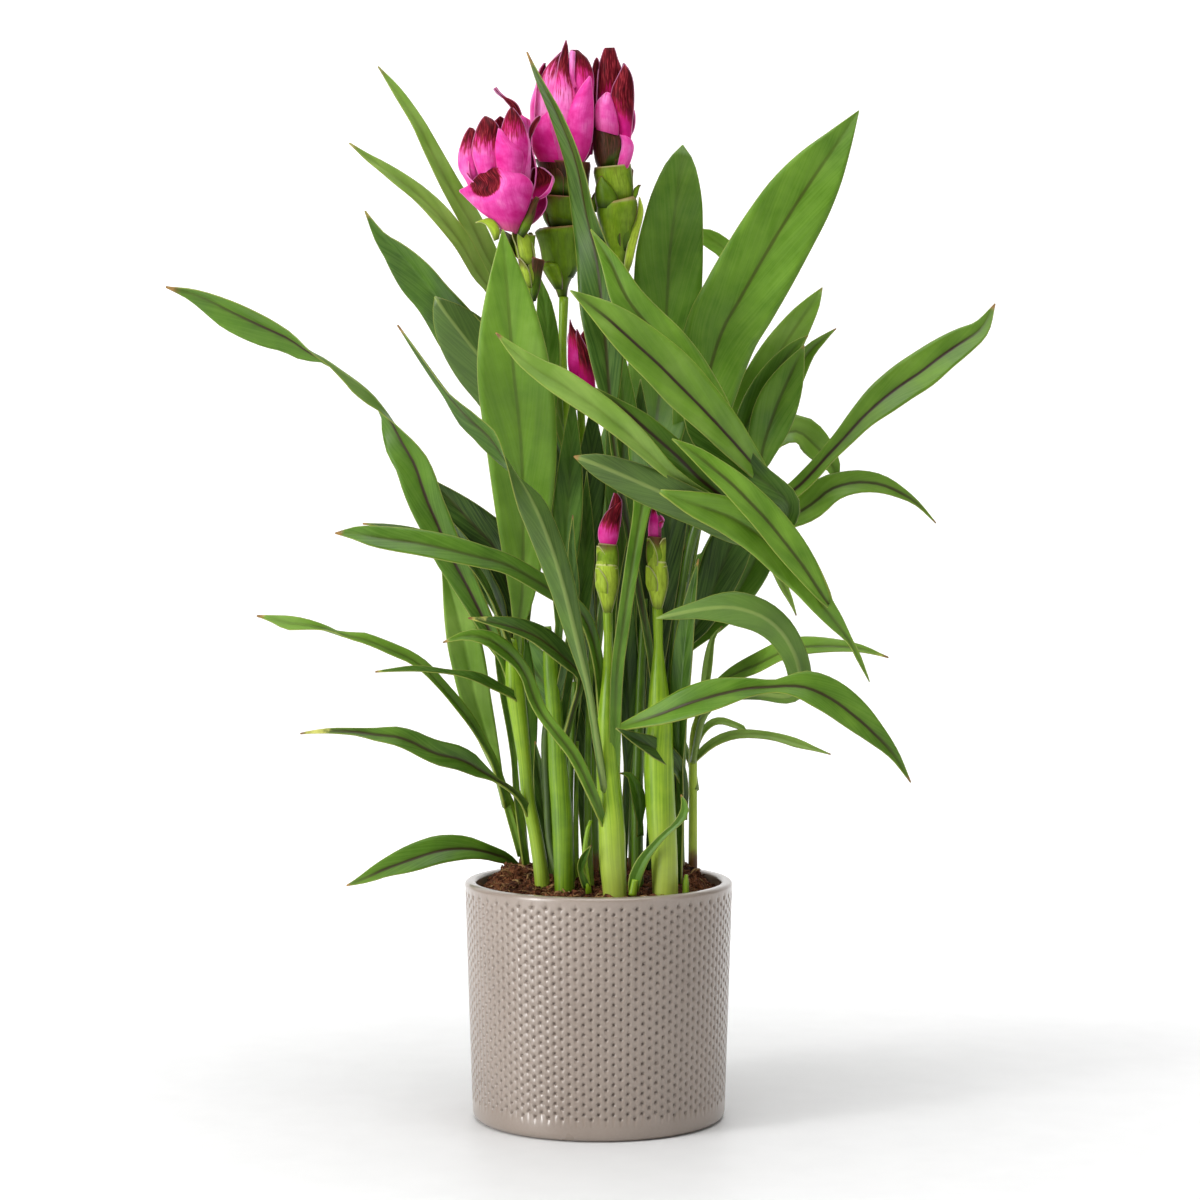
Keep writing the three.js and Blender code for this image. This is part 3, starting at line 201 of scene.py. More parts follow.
# (node, leaves) in the order in which the leaves are made
LEAVES = [
    ("shoot_left_back", [
        Leaf("upright", width=18, widest=0.62, petiole=0.22, tone=1.45, stripe=0, rows=[
            (-39, 132, 31), (-46, 157, 23), (-50, 172, 20), (-57, 195, 16), (-62, 212, 10),
            (-66, 232, 5), (-70, 250, 0), (-75, 268, -4), (-79, 279, -8)]),
        Leaf("twisted", petiole=0.15, fold=22, roll=-40, tone=1.25, stripe=0.3, tip=0.2, rows=[
            (-46, 157, 22), (-49, 168, 18), (-53, 180, 13), (-58.5, 190, 8), (-64, 199, 4),
            (-71, 208, -1), (-79, 217.5, -6), (-87.5, 226.5, -12), (-95, 231.8, -14),
            (-103, 235.3, -16), (-111, 238.8, -17), (-119, 241.7, -18), (-126, 243, -18),
            (-133, 245.2, -18, -75), (-140, 247.4, -17), (-148, 248.9, -16, -15),
            (-156, 249.6, -14, -10), (-164, 251.7, -12, -20), (-172, 253.5, -10)],
            widths=(3, 3, 3.2, 3.6, 4.5, 5, 5, 5.5, 5.5, 5.8, 5.5, 5.2, 3.2, 1.6, 3.2, 5.6, 7, 3.6,
            0.4)),
        Leaf("low", roll=-25, tone=0.95, stripe=0.9, rows=[
            (-38.5, 124, 36), (-42, 127, 34), (-46, 130.5, 31), (-50, 131.8, 28), (-57, 134, 23),
            (-65, 135.5, 20), (-73, 135.5, 17), (-82, 134.2, 15), (-92, 131, 13), (-100, 128.2, 12),
            (-108, 125.3, 11), (-115, 122, 10), (-121, 119.3, 10), (-127.5, 117, 10)],
            widths=(3, 4, 5, 6.5, 8, 11, 13, 14.5, 14, 12, 9, 6.5, 3.5, 0.4)),
    ]),
    ("shoot_left", [
        Leaf("front", width=37, widest=0.62, petiole=0.1, fold=10, tone=1.25, stripe=0.35,
            tip=0, rows=[
            (-40, 212, -13), (-41, 240, -15), (-38.5, 265, -20, -5), (-38, 300, -28, -8),
            (-39, 340, -36, -6), (-43, 380, -43), (-46, 420, -48), (-48, 447, -50)]),
        Leaf("long_arm", fold=22, tone=0.95, stripe=1, tip=0.2, rows=[
            (-41, 205, -10, 0), (-46, 228, -12, 5), (-55, 246, -15, 10), (-66, 268, -19, 15),
            (-75, 285, -22, 15), (-81.2, 300, -24, 15), (-85.7, 310, -25, 15),
            (-89.2, 320, -26, 15), (-92.7, 330, -27, 20), (-98.5, 340, -28, 35),
            (-103.3, 349.5, -29, 60), (-108, 356, -30, 85), (-113, 362.5, -31, 105),
            (-120, 369, -32, 115), (-129.5, 375.7, -33, 100), (-137.5, 381.3, -34, 85),
            (-146, 386, -34, 60), (-155.3, 392.3, -35, 45), (-165.3, 397, -36, 40),
            (-175.3, 401.7, -37, 40), (-185.3, 406.5, -38, 40), (-195.3, 411.5, -39, 40),
            (-205.3, 415.5, -39, 40), (-216.8, 418, -40, 40)],
            widths=(4, 5, 8, 12, 15, 16, 16.8, 17.5, 16.5, 14, 7.5, 4.5, 6.5, 6.5, 4, 2.6, 6, 10,
            13.5, 14.5, 13.5, 9.5, 5, 0.4)),
        Leaf("dark", width=25, petiole=0.15, roll=10, tone=0.3, tip=0, rows=[
            (-41, 222, -9), (-42, 250, -4), (-46, 270, 0), (-52, 287, 3), (-61, 297, 4),
            (-72, 309, 4), (-84, 322, 2)]),
        Leaf("dark_narrow", width=11, petiole=0.15, roll=10, tone=0.25, stripe=0.3, tip=0, rows=[
            (-42, 228, -10), (-50, 257, -5), (-57, 270, -3), (-63, 281, -2), (-70, 293, 0),
            (-76, 303, 2)]),
        Leaf("tip_low", width=10, petiole=0.2, roll=-60, tone=0.6, stripe=0.2, tip=0.3, rows=[
            (-42, 232, -15), (-55, 265, -30), (-70, 285, -38), (-90, 294, -44), (-105, 298, -46),
            (-118.5, 300, -46)]),
        Leaf("thin", roll=-40, tone=0.8, stripe=0, tip=0.3, rows=[
            (-38.5, 204, -14), (-40.5, 211.5, -16), (-45, 214.6, -20), (-50, 217, -24),
            (-57, 220.3, -29), (-65, 223.2, -33), (-75, 225, -36), (-90, 226.6, -39),
            (-102, 226.2, -41), (-112.5, 225.3, -42)],
            widths=(2.4, 3, 3.8, 4.2, 5, 4, 2.2, 3, 1.8, 0.4)),
        Leaf("low", roll=-25, tone=0.85, stripe=0.8, tip=0.9, rows=[
            (-34, 152, -12), (-39, 161, -17), (-45, 166.5, -22), (-50, 169.6, -26),
            (-55, 172.8, -30), (-60, 175.5, -33), (-65, 178.7, -37), (-72, 181.5, -41),
            (-80, 183.2, -45), (-87, 186, -48), (-95, 190, -50), (-103, 192.5, -52),
            (-112, 193.3, -52), (-122, 194.7, -51), (-135, 195.3, -49), (-145, 194.7, -47),
            (-150.5, 194, -45)],
            widths=(4, 3, 2.5, 2, 4.2, 7.5, 10.2, 11.8, 11.8, 10.8, 10.2, 9, 6.5, 3.8, 2.6, 1.4,
            0.4)),
    ]),
    ("shoot_middle", [
        Leaf("low", width=16, petiole=0.25, roll=-50, tone=0.6, stripe=0.7, tip=0.6, rows=[
            (-19, 182, -25), (-13, 205, -31), (-9, 222, -36), (-15, 230, -42), (-30, 242, -50),
            (-45, 248, -56), (-65.5, 252.5, -60)]),
        Leaf("broad", width=15, petiole=0.15, fold=10, tone=0.75, stripe=0.1, tip=0, rows=[
            (-22, 215, -24), (-19, 260, -24), (-16, 300, -24), (-14, 335, -24), (-13, 366, -22)]),
        Leaf("slim", width=11, petiole=0.15, fold=10, tone=0.75, stripe=0.1, tip=0, rows=[
            (-20, 190, -21), (-12, 240, -14), (-7, 285, -10), (-6, 326, -8)]),
        Leaf("bright", width=5, petiole=0.4, fold=10, tone=0.5, stripe=0, tip=0.3, rows=[
            (-23, 200, -24), (-15, 240, -30), (-12, 262, -30), (-13.5, 285, -30), (-13, 304, -30)]),
    ]),
    ("shoot_front", [
        Leaf("crossing", width=16, petiole=0.15, tone=0.7, stripe=0.6, tip=0.2, rows=[
            (3, 165, -36, 170), (-1, 190, -42, 170), (-5, 215, -47, 170), (-11, 240, -52, 170),
            (-18, 268, -58, 170), (-25, 290, -62, 160), (-33, 309, -65, 150), (-44, 327, -67, 90),
            (-55, 343, -68, 40), (-66, 353, -67, 40), (-77, 366, -65, 75), (-88, 381, -62, 70),
            (-101, 399, -58, 60)]),
        Leaf("middle_left", roll=-25, tone=0.9, tip=0.2, rows=[
            (2, 203, -32), (0, 228, -30), (-5, 248, -32), (-12, 258, -38), (-25, 267, -44),
            (-45, 278.5, -50), (-60, 282.8, -53), (-75, 286.5, -55), (-90, 289.7, -56),
            (-103, 291.5, -55), (-113, 293, -54), (-122, 294.7, -52), (-132.5, 295, -50)],
            widths=(4, 5, 6, 7, 9, 9.5, 11, 12.5, 12.5, 11.5, 10, 6.5, 0.4)),
        Leaf("hooked", roll=-25, tone=1.1, tip=0.2, rows=[
            (4, 146, -36), (-3, 163, -44), (-12, 182, -46), (-21, 194, -45), (-28.5, 204, -42),
            (-33, 213, -40), (-36, 222, -39), (-40.5, 229.5, -42), (-47, 236, -45),
            (-56, 241.8, -48), (-67, 243.3, -50), (-78.5, 240, -50)],
            widths=(3, 5, 6, 6, 6, 6.5, 6, 6, 8, 7.5, 4.5, 0.4)),
        Leaf("broad", fold=10, tone=1.05, stripe=0.4, tip=0, rows=[
            (8, 170, -36), (9, 220, -41), (12.5, 250, -42), (17, 280, -41), (22, 309, -34),
            (26, 330, -19), (30, 360, 0), (32.5, 385, 9), (34.3, 412, 14), (35.3, 433, 19),
            (37.3, 450, 23), (39, 463, 27), (40.6, 476, 30), (41.6, 484, 33), (42, 489, 34)],
            widths=(5, 6, 6.4, 7, 9, 22, 33, 34.5, 34.5, 34, 30, 25.6, 17.5, 9, 0.5)),
        Leaf("arch", roll=25, tone=1.05, stripe=0.9, rows=[
            (8, 196, -36), (18, 199.5, -46), (30, 203.3, -52), (45, 209, -57), (60, 213.5, -60),
            (75, 216.7, -61), (88, 217.6, -61), (96, 218, -61), (105, 217, -60), (117, 211.5, -58),
            (129, 202.7, -55), (139, 193.7, -52), (149, 183, -49), (157.5, 169.2, -46)],
            widths=(2, 5.5, 10, 14.5, 14.5, 9.5, 6.2, 9.5, 15, 16.5, 15, 10.5, 5, 0.4)),
    ]),
    ("shoot_front_right", [
        Leaf("past_flower", width=22, widest=0.35, petiole=0.42, tone=0.6, stripe=0.7, rows=[
            (30, 205, -30), (26, 235, -28), (21, 262, -28), (17, 285, -29), (12, 312, -32),
            (7.5, 340, -36), (5, 370, -38), (3, 395, -39, 0), (-0.8, 430, -40, 35),
            (-6.3, 455, -41, 55), (-11.3, 480, -42, 58), (-20.3, 503, -42, 50), (-29, 520, -41, 45),
            (-36, 535, -40, 40)]),
        Leaf("broad", roll=-30, tone=1.3, stripe=1, tip=0, rows=[
            (86, 316, -25), (80, 326, -36), (70, 338, -48), (60, 349, -57), (50, 359.5, -63),
            (40, 369.5, -68), (30, 379.5, -73), (20, 388.5, -77), (10, 397.5, -81), (0, 406, -84),
            (-14, 416.5, -88)],
            widths=(6, 9, 14, 18, 21, 22.5, 22, 20, 16.5, 11, 0.5)),
        Leaf("upper", width=20, petiole=0.15, tone=1.15, stripe=0.6, tip=0, rows=[
            (74, 320, -25), (66, 350, -38), (50, 372, -42), (36, 388, -46), (24, 400, -48),
            (14, 413, -50), (6, 430, -50), (-4, 447, -48)]),
        Leaf("light", fold=18, roll=-20, tone=1.6, stripe=0.1, rows=[
            (88, 302, -26), (76, 304.5, -38), (64, 309, -48), (53, 314.5, -56), (44, 319.5, -62),
            (34, 327, -68), (20, 340.5, -74), (8, 351, -78), (-4, 360, -80), (-20, 370.5, -83),
            (-30, 376.5, -84), (-40, 384, -85), (-51.5, 395.5, -86)],
            widths=(3, 3, 3, 4, 5.5, 7, 10, 12, 12.8, 12.8, 9.8, 6.5, 0.4)),
        Leaf("striped", fold=-14, tone=0.95, stripe=1, tip=0, rows=[
            (87, 304, -26), (76, 305.5, -38), (67, 310, -46), (60, 314.8, -51), (50, 323, -56),
            (40, 333, -60), (30, 341.8, -63), (20, 350.5, -65), (8, 361, -67), (-2, 368, -68)],
            widths=(4, 5, 6, 8, 11, 13, 13, 11.5, 4, 0.4)),
        Leaf("short", roll=-25, tone=1.2, stripe=0.7, tip=0, rows=[
            (92, 298, -28), (104, 284, -42), (114, 266, -52), (116, 259, -60), (111, 266, -63),
            (103, 278, -65), (93, 291, -67), (84, 302, -68), (75, 311.5, -70), (67, 319.5, -71),
            (58, 327, -72), (48, 335, -73), (37, 342.3, -74)],
            widths=(6, 6, 4, 3, 7.5, 12.5, 15, 15, 13.5, 12, 10, 6.5, 0.4)),
        Leaf("underside", fold=20, tone=0.55, stripe=0.2, tip=0.2, rows=[
            (92, 292, -27, 200), (86, 291.5, -42, 200), (76, 295, -50, 195), (65, 300, -57, 190),
            (55, 304.5, -63, 185), (40, 311.5, -69, 180), (20, 320.5, -74, 180), (0, 329, -79, 180),
            (-12.5, 333.5, -80, 180)],
            widths=(3, 9, 16, 18, 17, 17.5, 17, 11, 0.4)),
        Leaf("hanging", roll=10, tone=1.2, stripe=0.4, tip=0, rows=[
            (31, 316, -73), (48, 309.5, -69), (66, 303, -65), (81, 293.5, -62), (94.5, 282, -60),
            (104.5, 270.5, -59), (111.5, 260, -59), (119, 250.5, -58), (126.5, 240.5, -55),
            (131, 232, -53), (136.5, 220, -50)],
            widths=(1.5, 12, 18, 19, 20, 16, 11.5, 8, 3, 2.6, 0.4)),
        Leaf("dark", roll=-10, tone=0.75, stripe=0.2, tip=0, rows=[
            (93, 297, -24), (95.5, 304, -27), (94.5, 311, -32), (88, 317, -36), (80, 323, -39),
            (66, 334, -42), (52, 346, -44), (42, 357, -45)],
            widths=(7, 10, 11.5, 12, 13, 17, 15, 0.5)),
    ]),
    ("shoot_right", [
        Leaf("arch_under", roll=175, stripe=0.3, tip=0, rows=[
            (47.5, 180, 31), (53, 203, 22), (65, 212, 10), (80, 214, -8), (95, 213, -25),
            (101, 219, -38), (100.5, 228, -45), (97, 237, -50), (91, 246, -55), (82, 253, -60),
            (70, 257, -62), (60, 257.5, -62), (48, 256, -62), (38, 254, -61), (29, 252, -60)],
            widths=(3, 3, 4, 6, 8, 11, 12, 13, 14.5, 16, 16.5, 13.5, 8, 5, 0.4)),
        Leaf("arch", width=13, petiole=0.15, roll=40, tone=1.3, tip=0.4, rows=[
            (48, 188, 31), (55, 212, 18), (65, 222, 5), (80, 229, -10), (95, 236, -25),
            (110, 238, -30), (130, 237, -30), (146, 232.5, -28)]),
        Leaf("low", roll=20, tone=1.7, stripe=0.1, rows=[
            (48, 181, 31), (55, 187.5, 27), (62, 191.5, 25), (70, 193.6, 22), (80, 193.5, 21),
            (90, 192, 20), (100, 189, 20), (108, 186.5, 20), (117, 183.5, 20)],
            widths=(3, 4, 4.6, 4.6, 4.2, 4.2, 4.6, 2.4, 0.4)),
        Leaf("folded", roll=20, tone=1.7, stripe=0, tip=0, rows=[
            (48, 186, 31), (52, 194.5, 30), (57, 199.3, 28), (62, 200.3, 27), (68, 198.5, 26),
            (73, 196.3, 25), (74.5, 192.5, 25)],
            widths=(2, 3, 3.6, 3.6, 3.2, 2.6, 0.5)),
        Leaf("young", width=5, petiole=0.15, tone=1.75, stripe=0, tip=0.3, rows=[
            (50, 194, 30), (52, 205, 27), (54, 222, 24), (57, 241, 20), (62, 248, 18)]),
        Leaf("inner", width=10, petiole=0.15, roll=130, tone=0.6, stripe=0.2, tip=0.4, rows=[
            (48, 165, 32), (46, 180, 38), (38, 196, 46), (24, 206, 52), (6, 210, 56)]),
    ]),
    ("shoot_back_right", [
        Leaf("large", fold=10, tone=1.1, stripe=0.6, tip=0, rows=[
            (38, 245, 30), (45, 290, 18), (48, 330, 3), (53, 365, -12), (61, 394, -15),
            (70, 411, -16), (80, 428.5, -15), (90, 445.5, -13), (100, 461.5, -10), (110, 476.5, -7),
            (120, 491, -2), (130, 506, 5)],
            widths=(5, 9, 20, 31, 36.5, 38, 38, 36.5, 33.5, 26, 14, 0.5)),
        Leaf("pale", tone=1.35, stripe=0.3, tip=0.05, rows=[
            (72, 314, 34), (69, 335, 30), (73, 354, 28), (82, 371, 28), (91, 386, 28),
            (100, 400, 29), (107, 410, 31), (112, 418, 34)],
            widths=(5, 14, 20, 20, 19, 14, 8, 0.4)),
        Leaf("dark", width=16, petiole=0.2, stripe=0.4, tip=0.05, rows=[
            (72, 314, 34), (70, 338, 18), (77, 355, 15), (88, 374, 14), (98, 388, 15),
            (105, 394, 16)]),
        Leaf("middle", width=22, petiole=0.2, tone=1.05, tip=0.05, rows=[
            (74, 316, 34), (80, 326, 14), (83, 340, 8), (89, 358, 5), (96, 374, 5), (103, 389, 7)]),
        Leaf("narrow", width=10, petiole=0.2, tone=1.3, stripe=0.4, rows=[
            (75, 318, 34), (88, 350, 36), (96, 368, 37), (104, 384, 38), (112, 392, 38),
            (119, 397.5, 40)]),
        Leaf("far", roll=15, tone=1.2, stripe=1, rows=[
            (66, 304, 34), (84, 309, 26), (96.5, 315.5, 26), (105.5, 323.5, 27), (114.5, 333.5, 29),
            (123.5, 343, 32), (132.5, 353, 36), (141.5, 361.2, 40), (151.5, 369, 45),
            (161.5, 375.8, 49), (171.5, 383.5, 54), (181.5, 390.3, 58), (191.5, 397.5, 64),
            (198.5, 410, 70)],
            widths=(4, 6, 8, 8.5, 8.5, 10.3, 13.5, 17.5, 19, 19.5, 17.5, 14.5, 9, 0.4)),
        Leaf("arch", roll=20, tone=1.25, stripe=0.8, rows=[
            (62, 298, 33), (76, 298, 32), (90, 300, 31), (99, 304.5, 32), (107, 309.5, 33),
            (115, 316, 34), (122, 319, 35), (131, 320.5, 38), (141, 319.5, 41), (150, 316, 43),
            (160, 309.8, 45), (169.5, 300, 46)],
            widths=(3, 4, 8, 14, 16.5, 15, 13, 11.5, 9.5, 6.5, 2.6, 0.4)),
        Leaf("small_arch", width=19, petiole=0.2, roll=30, tone=1.4, stripe=0.4, rows=[
            (75, 317, 34), (88, 340, 42), (99, 346, 47), (109, 338.5, 51), (117, 329, 53),
            (120, 319, 54)]),
        Leaf("drooping", width=6, petiole=0.15, roll=20, tone=1.6, stripe=0.4, rows=[
            (58, 290, 33), (80, 288, 25), (88, 279, 16), (93, 268, 12), (97, 260, 11),
            (99.5, 253.5, 10)]),
        Leaf("inner_dark", tone=0.45, stripe=0.2, tip=0, rows=[
            (28, 213, 27), (40, 236, 22), (50, 250, 18), (58, 268, 15), (66, 288, 13),
            (74, 306, 12)],
            widths=(4, 6, 13, 20, 22, 12)),
        Leaf("inner", stripe=0.2, tip=0, rows=[
            (33, 228, 29), (48, 240, 27), (60, 252, 26), (70, 266, 24), (79, 282, 22),
            (88, 299, 22)],
            widths=(4, 6, 12, 17, 18, 8)),
        Leaf("behind", tone=1.25, stripe=0.4, tip=0, rows=[
            (42, 255, 31), (52, 320, 52), (64, 380, 70), (72, 415, 78), (70, 429, 80),
            (62, 438, 82), (54, 443, 83), (46, 447, 84)],
            widths=(4, 8, 12, 12, 11, 10, 9, 0.5)),
        Leaf("slim_left", fold=10, tone=0.9, stripe=0.4, tip=0, rows=[
            (19, 165, 22), (14, 220, 12), (12, 270, 2), (12, 320, -6), (12, 355, -10),
            (11, 392, -12)],
            widths=(4, 10, 15, 17, 15, 0.5)),
        Leaf("slim_right", fold=10, tone=0.7, stripe=0.4, tip=0, rows=[
            (21, 182, 23), (25, 230, 14), (23, 280, 4), (21, 330, -4), (21, 372, -8)],
            widths=(4, 10, 14, 15, 0.5)),
    ]),
    ("shoot_back", [
        Leaf("left_high", roll=-35, tone=1.5, stripe=0.2, tip=0.05, rows=[
            (-8, 290, 19), (-14, 330, 24), (-24, 375, 28), (-36, 403, 30), (-46, 419, 31),
            (-55, 431.5, 31), (-63, 448, 32), (-70, 460.5, 33), (-75.5, 470, 33), (-84.3, 487, 35),
            (-90.8, 500, 36), (-100.5, 515, 38), (-110, 528, 40)],
            widths=(4, 8, 9, 9, 8, 10.5, 11, 10.5, 9.7, 8.1, 6.5, 4.7, 0.4)),
        Leaf("left_middle", roll=-40, tone=1.55, stripe=0.2, tip=0.05, rows=[
            (-8, 292, 18), (-18, 330, 18), (-31, 370, 20), (-44, 402, 20), (-54, 417, 20),
            (-60, 424.5, 20), (-65, 433.3, 20), (-70, 441.6, 20), (-80, 454, 18), (-90, 464, 17),
            (-100, 471.6, 15), (-108, 477.5, 14), (-116, 483, 12), (-124.5, 490, 10)],
            widths=(4, 8, 9, 8, 6.5, 8, 8.5, 9, 9.3, 8.3, 7.3, 5.5, 3.3, 0.4)),
        Leaf("left_low", fold=22, roll=32, tone=0.75, stripe=0, tip=0.05, rows=[
            (-7, 280, 16), (-22, 330, 8), (-39, 369, 4), (-54, 382, 1), (-66, 395, -2),
            (-75, 406, -4), (-82, 414.5, -5), (-89, 423, -6), (-96, 431, -7), (-103, 438, -8),
            (-109, 443.5, -9), (-117, 456, -10)],
            widths=(4, 14, 22, 24, 24, 21, 18.5, 18.5, 15.5, 10.5, 6, 0.4)),
        Leaf("left_under", roll=180, tone=0.6, stripe=0.2, tip=0, rows=[
            (-6, 270, 18), (-24, 320, 2), (-38, 350, -6), (-48, 368, -10), (-57, 380, -13),
            (-65, 390, -15), (-72, 399, -17), (-78, 407, -19), (-82, 413.5, -20)],
            widths=(5, 16, 26, 30, 31, 28, 22, 12, 0.5)),
        Leaf("rear_a", width=26, petiole=0.25, tone=0.75, stripe=0.4, rows=[
            (-3, 200, 25), (-14, 250, 50), (-26, 300, 80), (-40, 350, 105), (-52, 385, 122)]),
        Leaf("rear_b", width=28, petiole=0.25, tone=0.75, stripe=0.4, rows=[
            (-3, 215, 25), (2, 260, 55), (8, 310, 90), (12, 350, 112), (10, 380, 125)]),
        Leaf("rear_c", width=24, petiole=0.25, tone=0.75, stripe=0.4, rows=[
            (-4, 180, 26), (10, 215, 55), (28, 250, 85), (48, 275, 108), (66, 290, 122)]),
        Leaf("rear_d", width=22, petiole=0.25, tone=0.75, stripe=0.4, rows=[
            (-4, 170, 26), (-16, 200, 55), (-32, 225, 85), (-50, 240, 108), (-64, 245, 122)]),
    ]),
    # Young growth at the front
    ("sprout_front", [
        Leaf("young", width=4, petiole=0.1, tone=0.7, stripe=0, rows=[
            (-6, 116, -34), (-9, 125, -36), (-7, 132, -40), (-4, 137, -44)]),
    ]),
    ("sprout_sheath", [
        Leaf("young", stripe=0, rows=[
            (17.5, 114, -38), (18.5, 121, -38.5), (22, 129, -39), (27, 136, -40),
            (33, 142.5, -41.5), (38, 147, -43), (42, 151.5, -43.5), (43.5, 157, -44),
            (41.5, 163, -44)],
            widths=(5, 6, 5.5, 4, 3.2, 3, 4.2, 3.6, 0.4)),
    ]),
    # Leaves that fill the inside of the plant, kept dark by low tones that paint the shade there
    ("shoot_middle", [
        Leaf("inner_low", width=8, petiole=0.15, tone=0.4, stripe=0.2, rows=[
            (-24, 118, 5), (-27, 145, 4), (-29, 165, 2), (-32, 190, 0)]),
        Leaf("inner_dull", width=11, petiole=0.3, roll=30, tone=0.5, stripe=0, rows=[
            (-17, 118, 2), (-16, 185, 0), (-12, 210, -4), (-7, 231, -8)]),
    ]),
    ("shoot_back", [
        Leaf("inner_tall", fold=10, tone=0.45, stripe=0.1, tip=0, rows=[
            (-5, 118, 12), (-8, 180, 10), (-7, 230, 8), (-8, 280, 6), (-4, 325, 2), (-3, 362, 0)],
            widths=(4, 8, 12, 15, 15, 0.5)),
        Leaf("inner_wide", width=15, petiole=0.3, roll=20, tone=0.4, stripe=0.1, rows=[
            (2, 118, 8), (1, 170, 4), (-4, 215, 0), (-7, 250, 0), (-5, 296, 2)]),
        Leaf("inner_right", width=12, petiole=0.25, roll=-20, tone=0.45, stripe=0.1, rows=[
            (12, 118, 2), (14, 165, -2), (15, 210, -6), (13, 255, -8), (16, 300, -8)]),
    ]),
    ("shoot_front_right", [
        Leaf("inner_dark", roll=-30, tone=0.4, stripe=0.2, tip=0, rows=[
            (43, 150, -16), (43, 168, -22), (38, 179.5, -30), (28, 186.5, -38), (18, 191.5, -44),
            (9, 196.7, -48)],
            widths=(3, 4, 8, 9.5, 5.5, 0.4)),
        Leaf("inner_fold", width=8, petiole=0.1, roll=-30, tone=0.9, stripe=0, rows=[
            (21, 142, -20), (20, 160, -24), (16, 172, -27), (11, 174, -29)]),
        Leaf("beside_stem", width=12, petiole=0.3, roll=30, tone=0.65, stripe=0, rows=[
            (40, 118, -22), (41, 160, -24), (41, 205, -28), (44, 245, -30), (50, 282, -30)]),
    ]),
    ("shoot_left", [
        Leaf("inner_dark", width=12, petiole=0.3, roll=-20, tone=0.9, stripe=0.2, rows=[
            (-30, 122, 6), (-33, 165, 4), (-36, 205, 2), (-41, 246, 0), (-44, 275, 0)]),
    ]),
    ("shoot_left_back", [
        Leaf("inner_thin", width=7, petiole=0.3, roll=-30, tone=1.3, stripe=0, rows=[
            (-36, 124, 30), (-41, 160, 24), (-44, 195, 16), (-50, 232, 10), (-52, 262, 6)]),
    ]),
    ("shoot_back_right", [
        Leaf("inner_broad", tone=0.3, stripe=0.1, tip=0, rows=[
            (24, 185, 12), (30, 240, 4), (34, 280, 0), (37, 315, -4), (40, 350, -6)],
            widths=(4, 10, 15, 16, 0.5)),
    ]),
    ("shoot_left", [
        Leaf("inner_high", stripe=0.1, tip=0, rows=[
            (-38, 240, -5), (-34, 300, -9), (-29, 350, -12), (-26, 385, -13), (-27, 408, -14),
            (-30, 424, -15)],
            widths=(4, 10, 14, 13, 8, 0.5)),
    ]),
    ("shoot_back_right", [
        Leaf("inner_low", width=13, petiole=0.3, roll=25, tone=0.35, stripe=0.1, rows=[
            (25, 122, 20), (27, 165, 18), (30, 210, 14), (36, 255, 10), (44, 290, 8)]),
    ]),
]
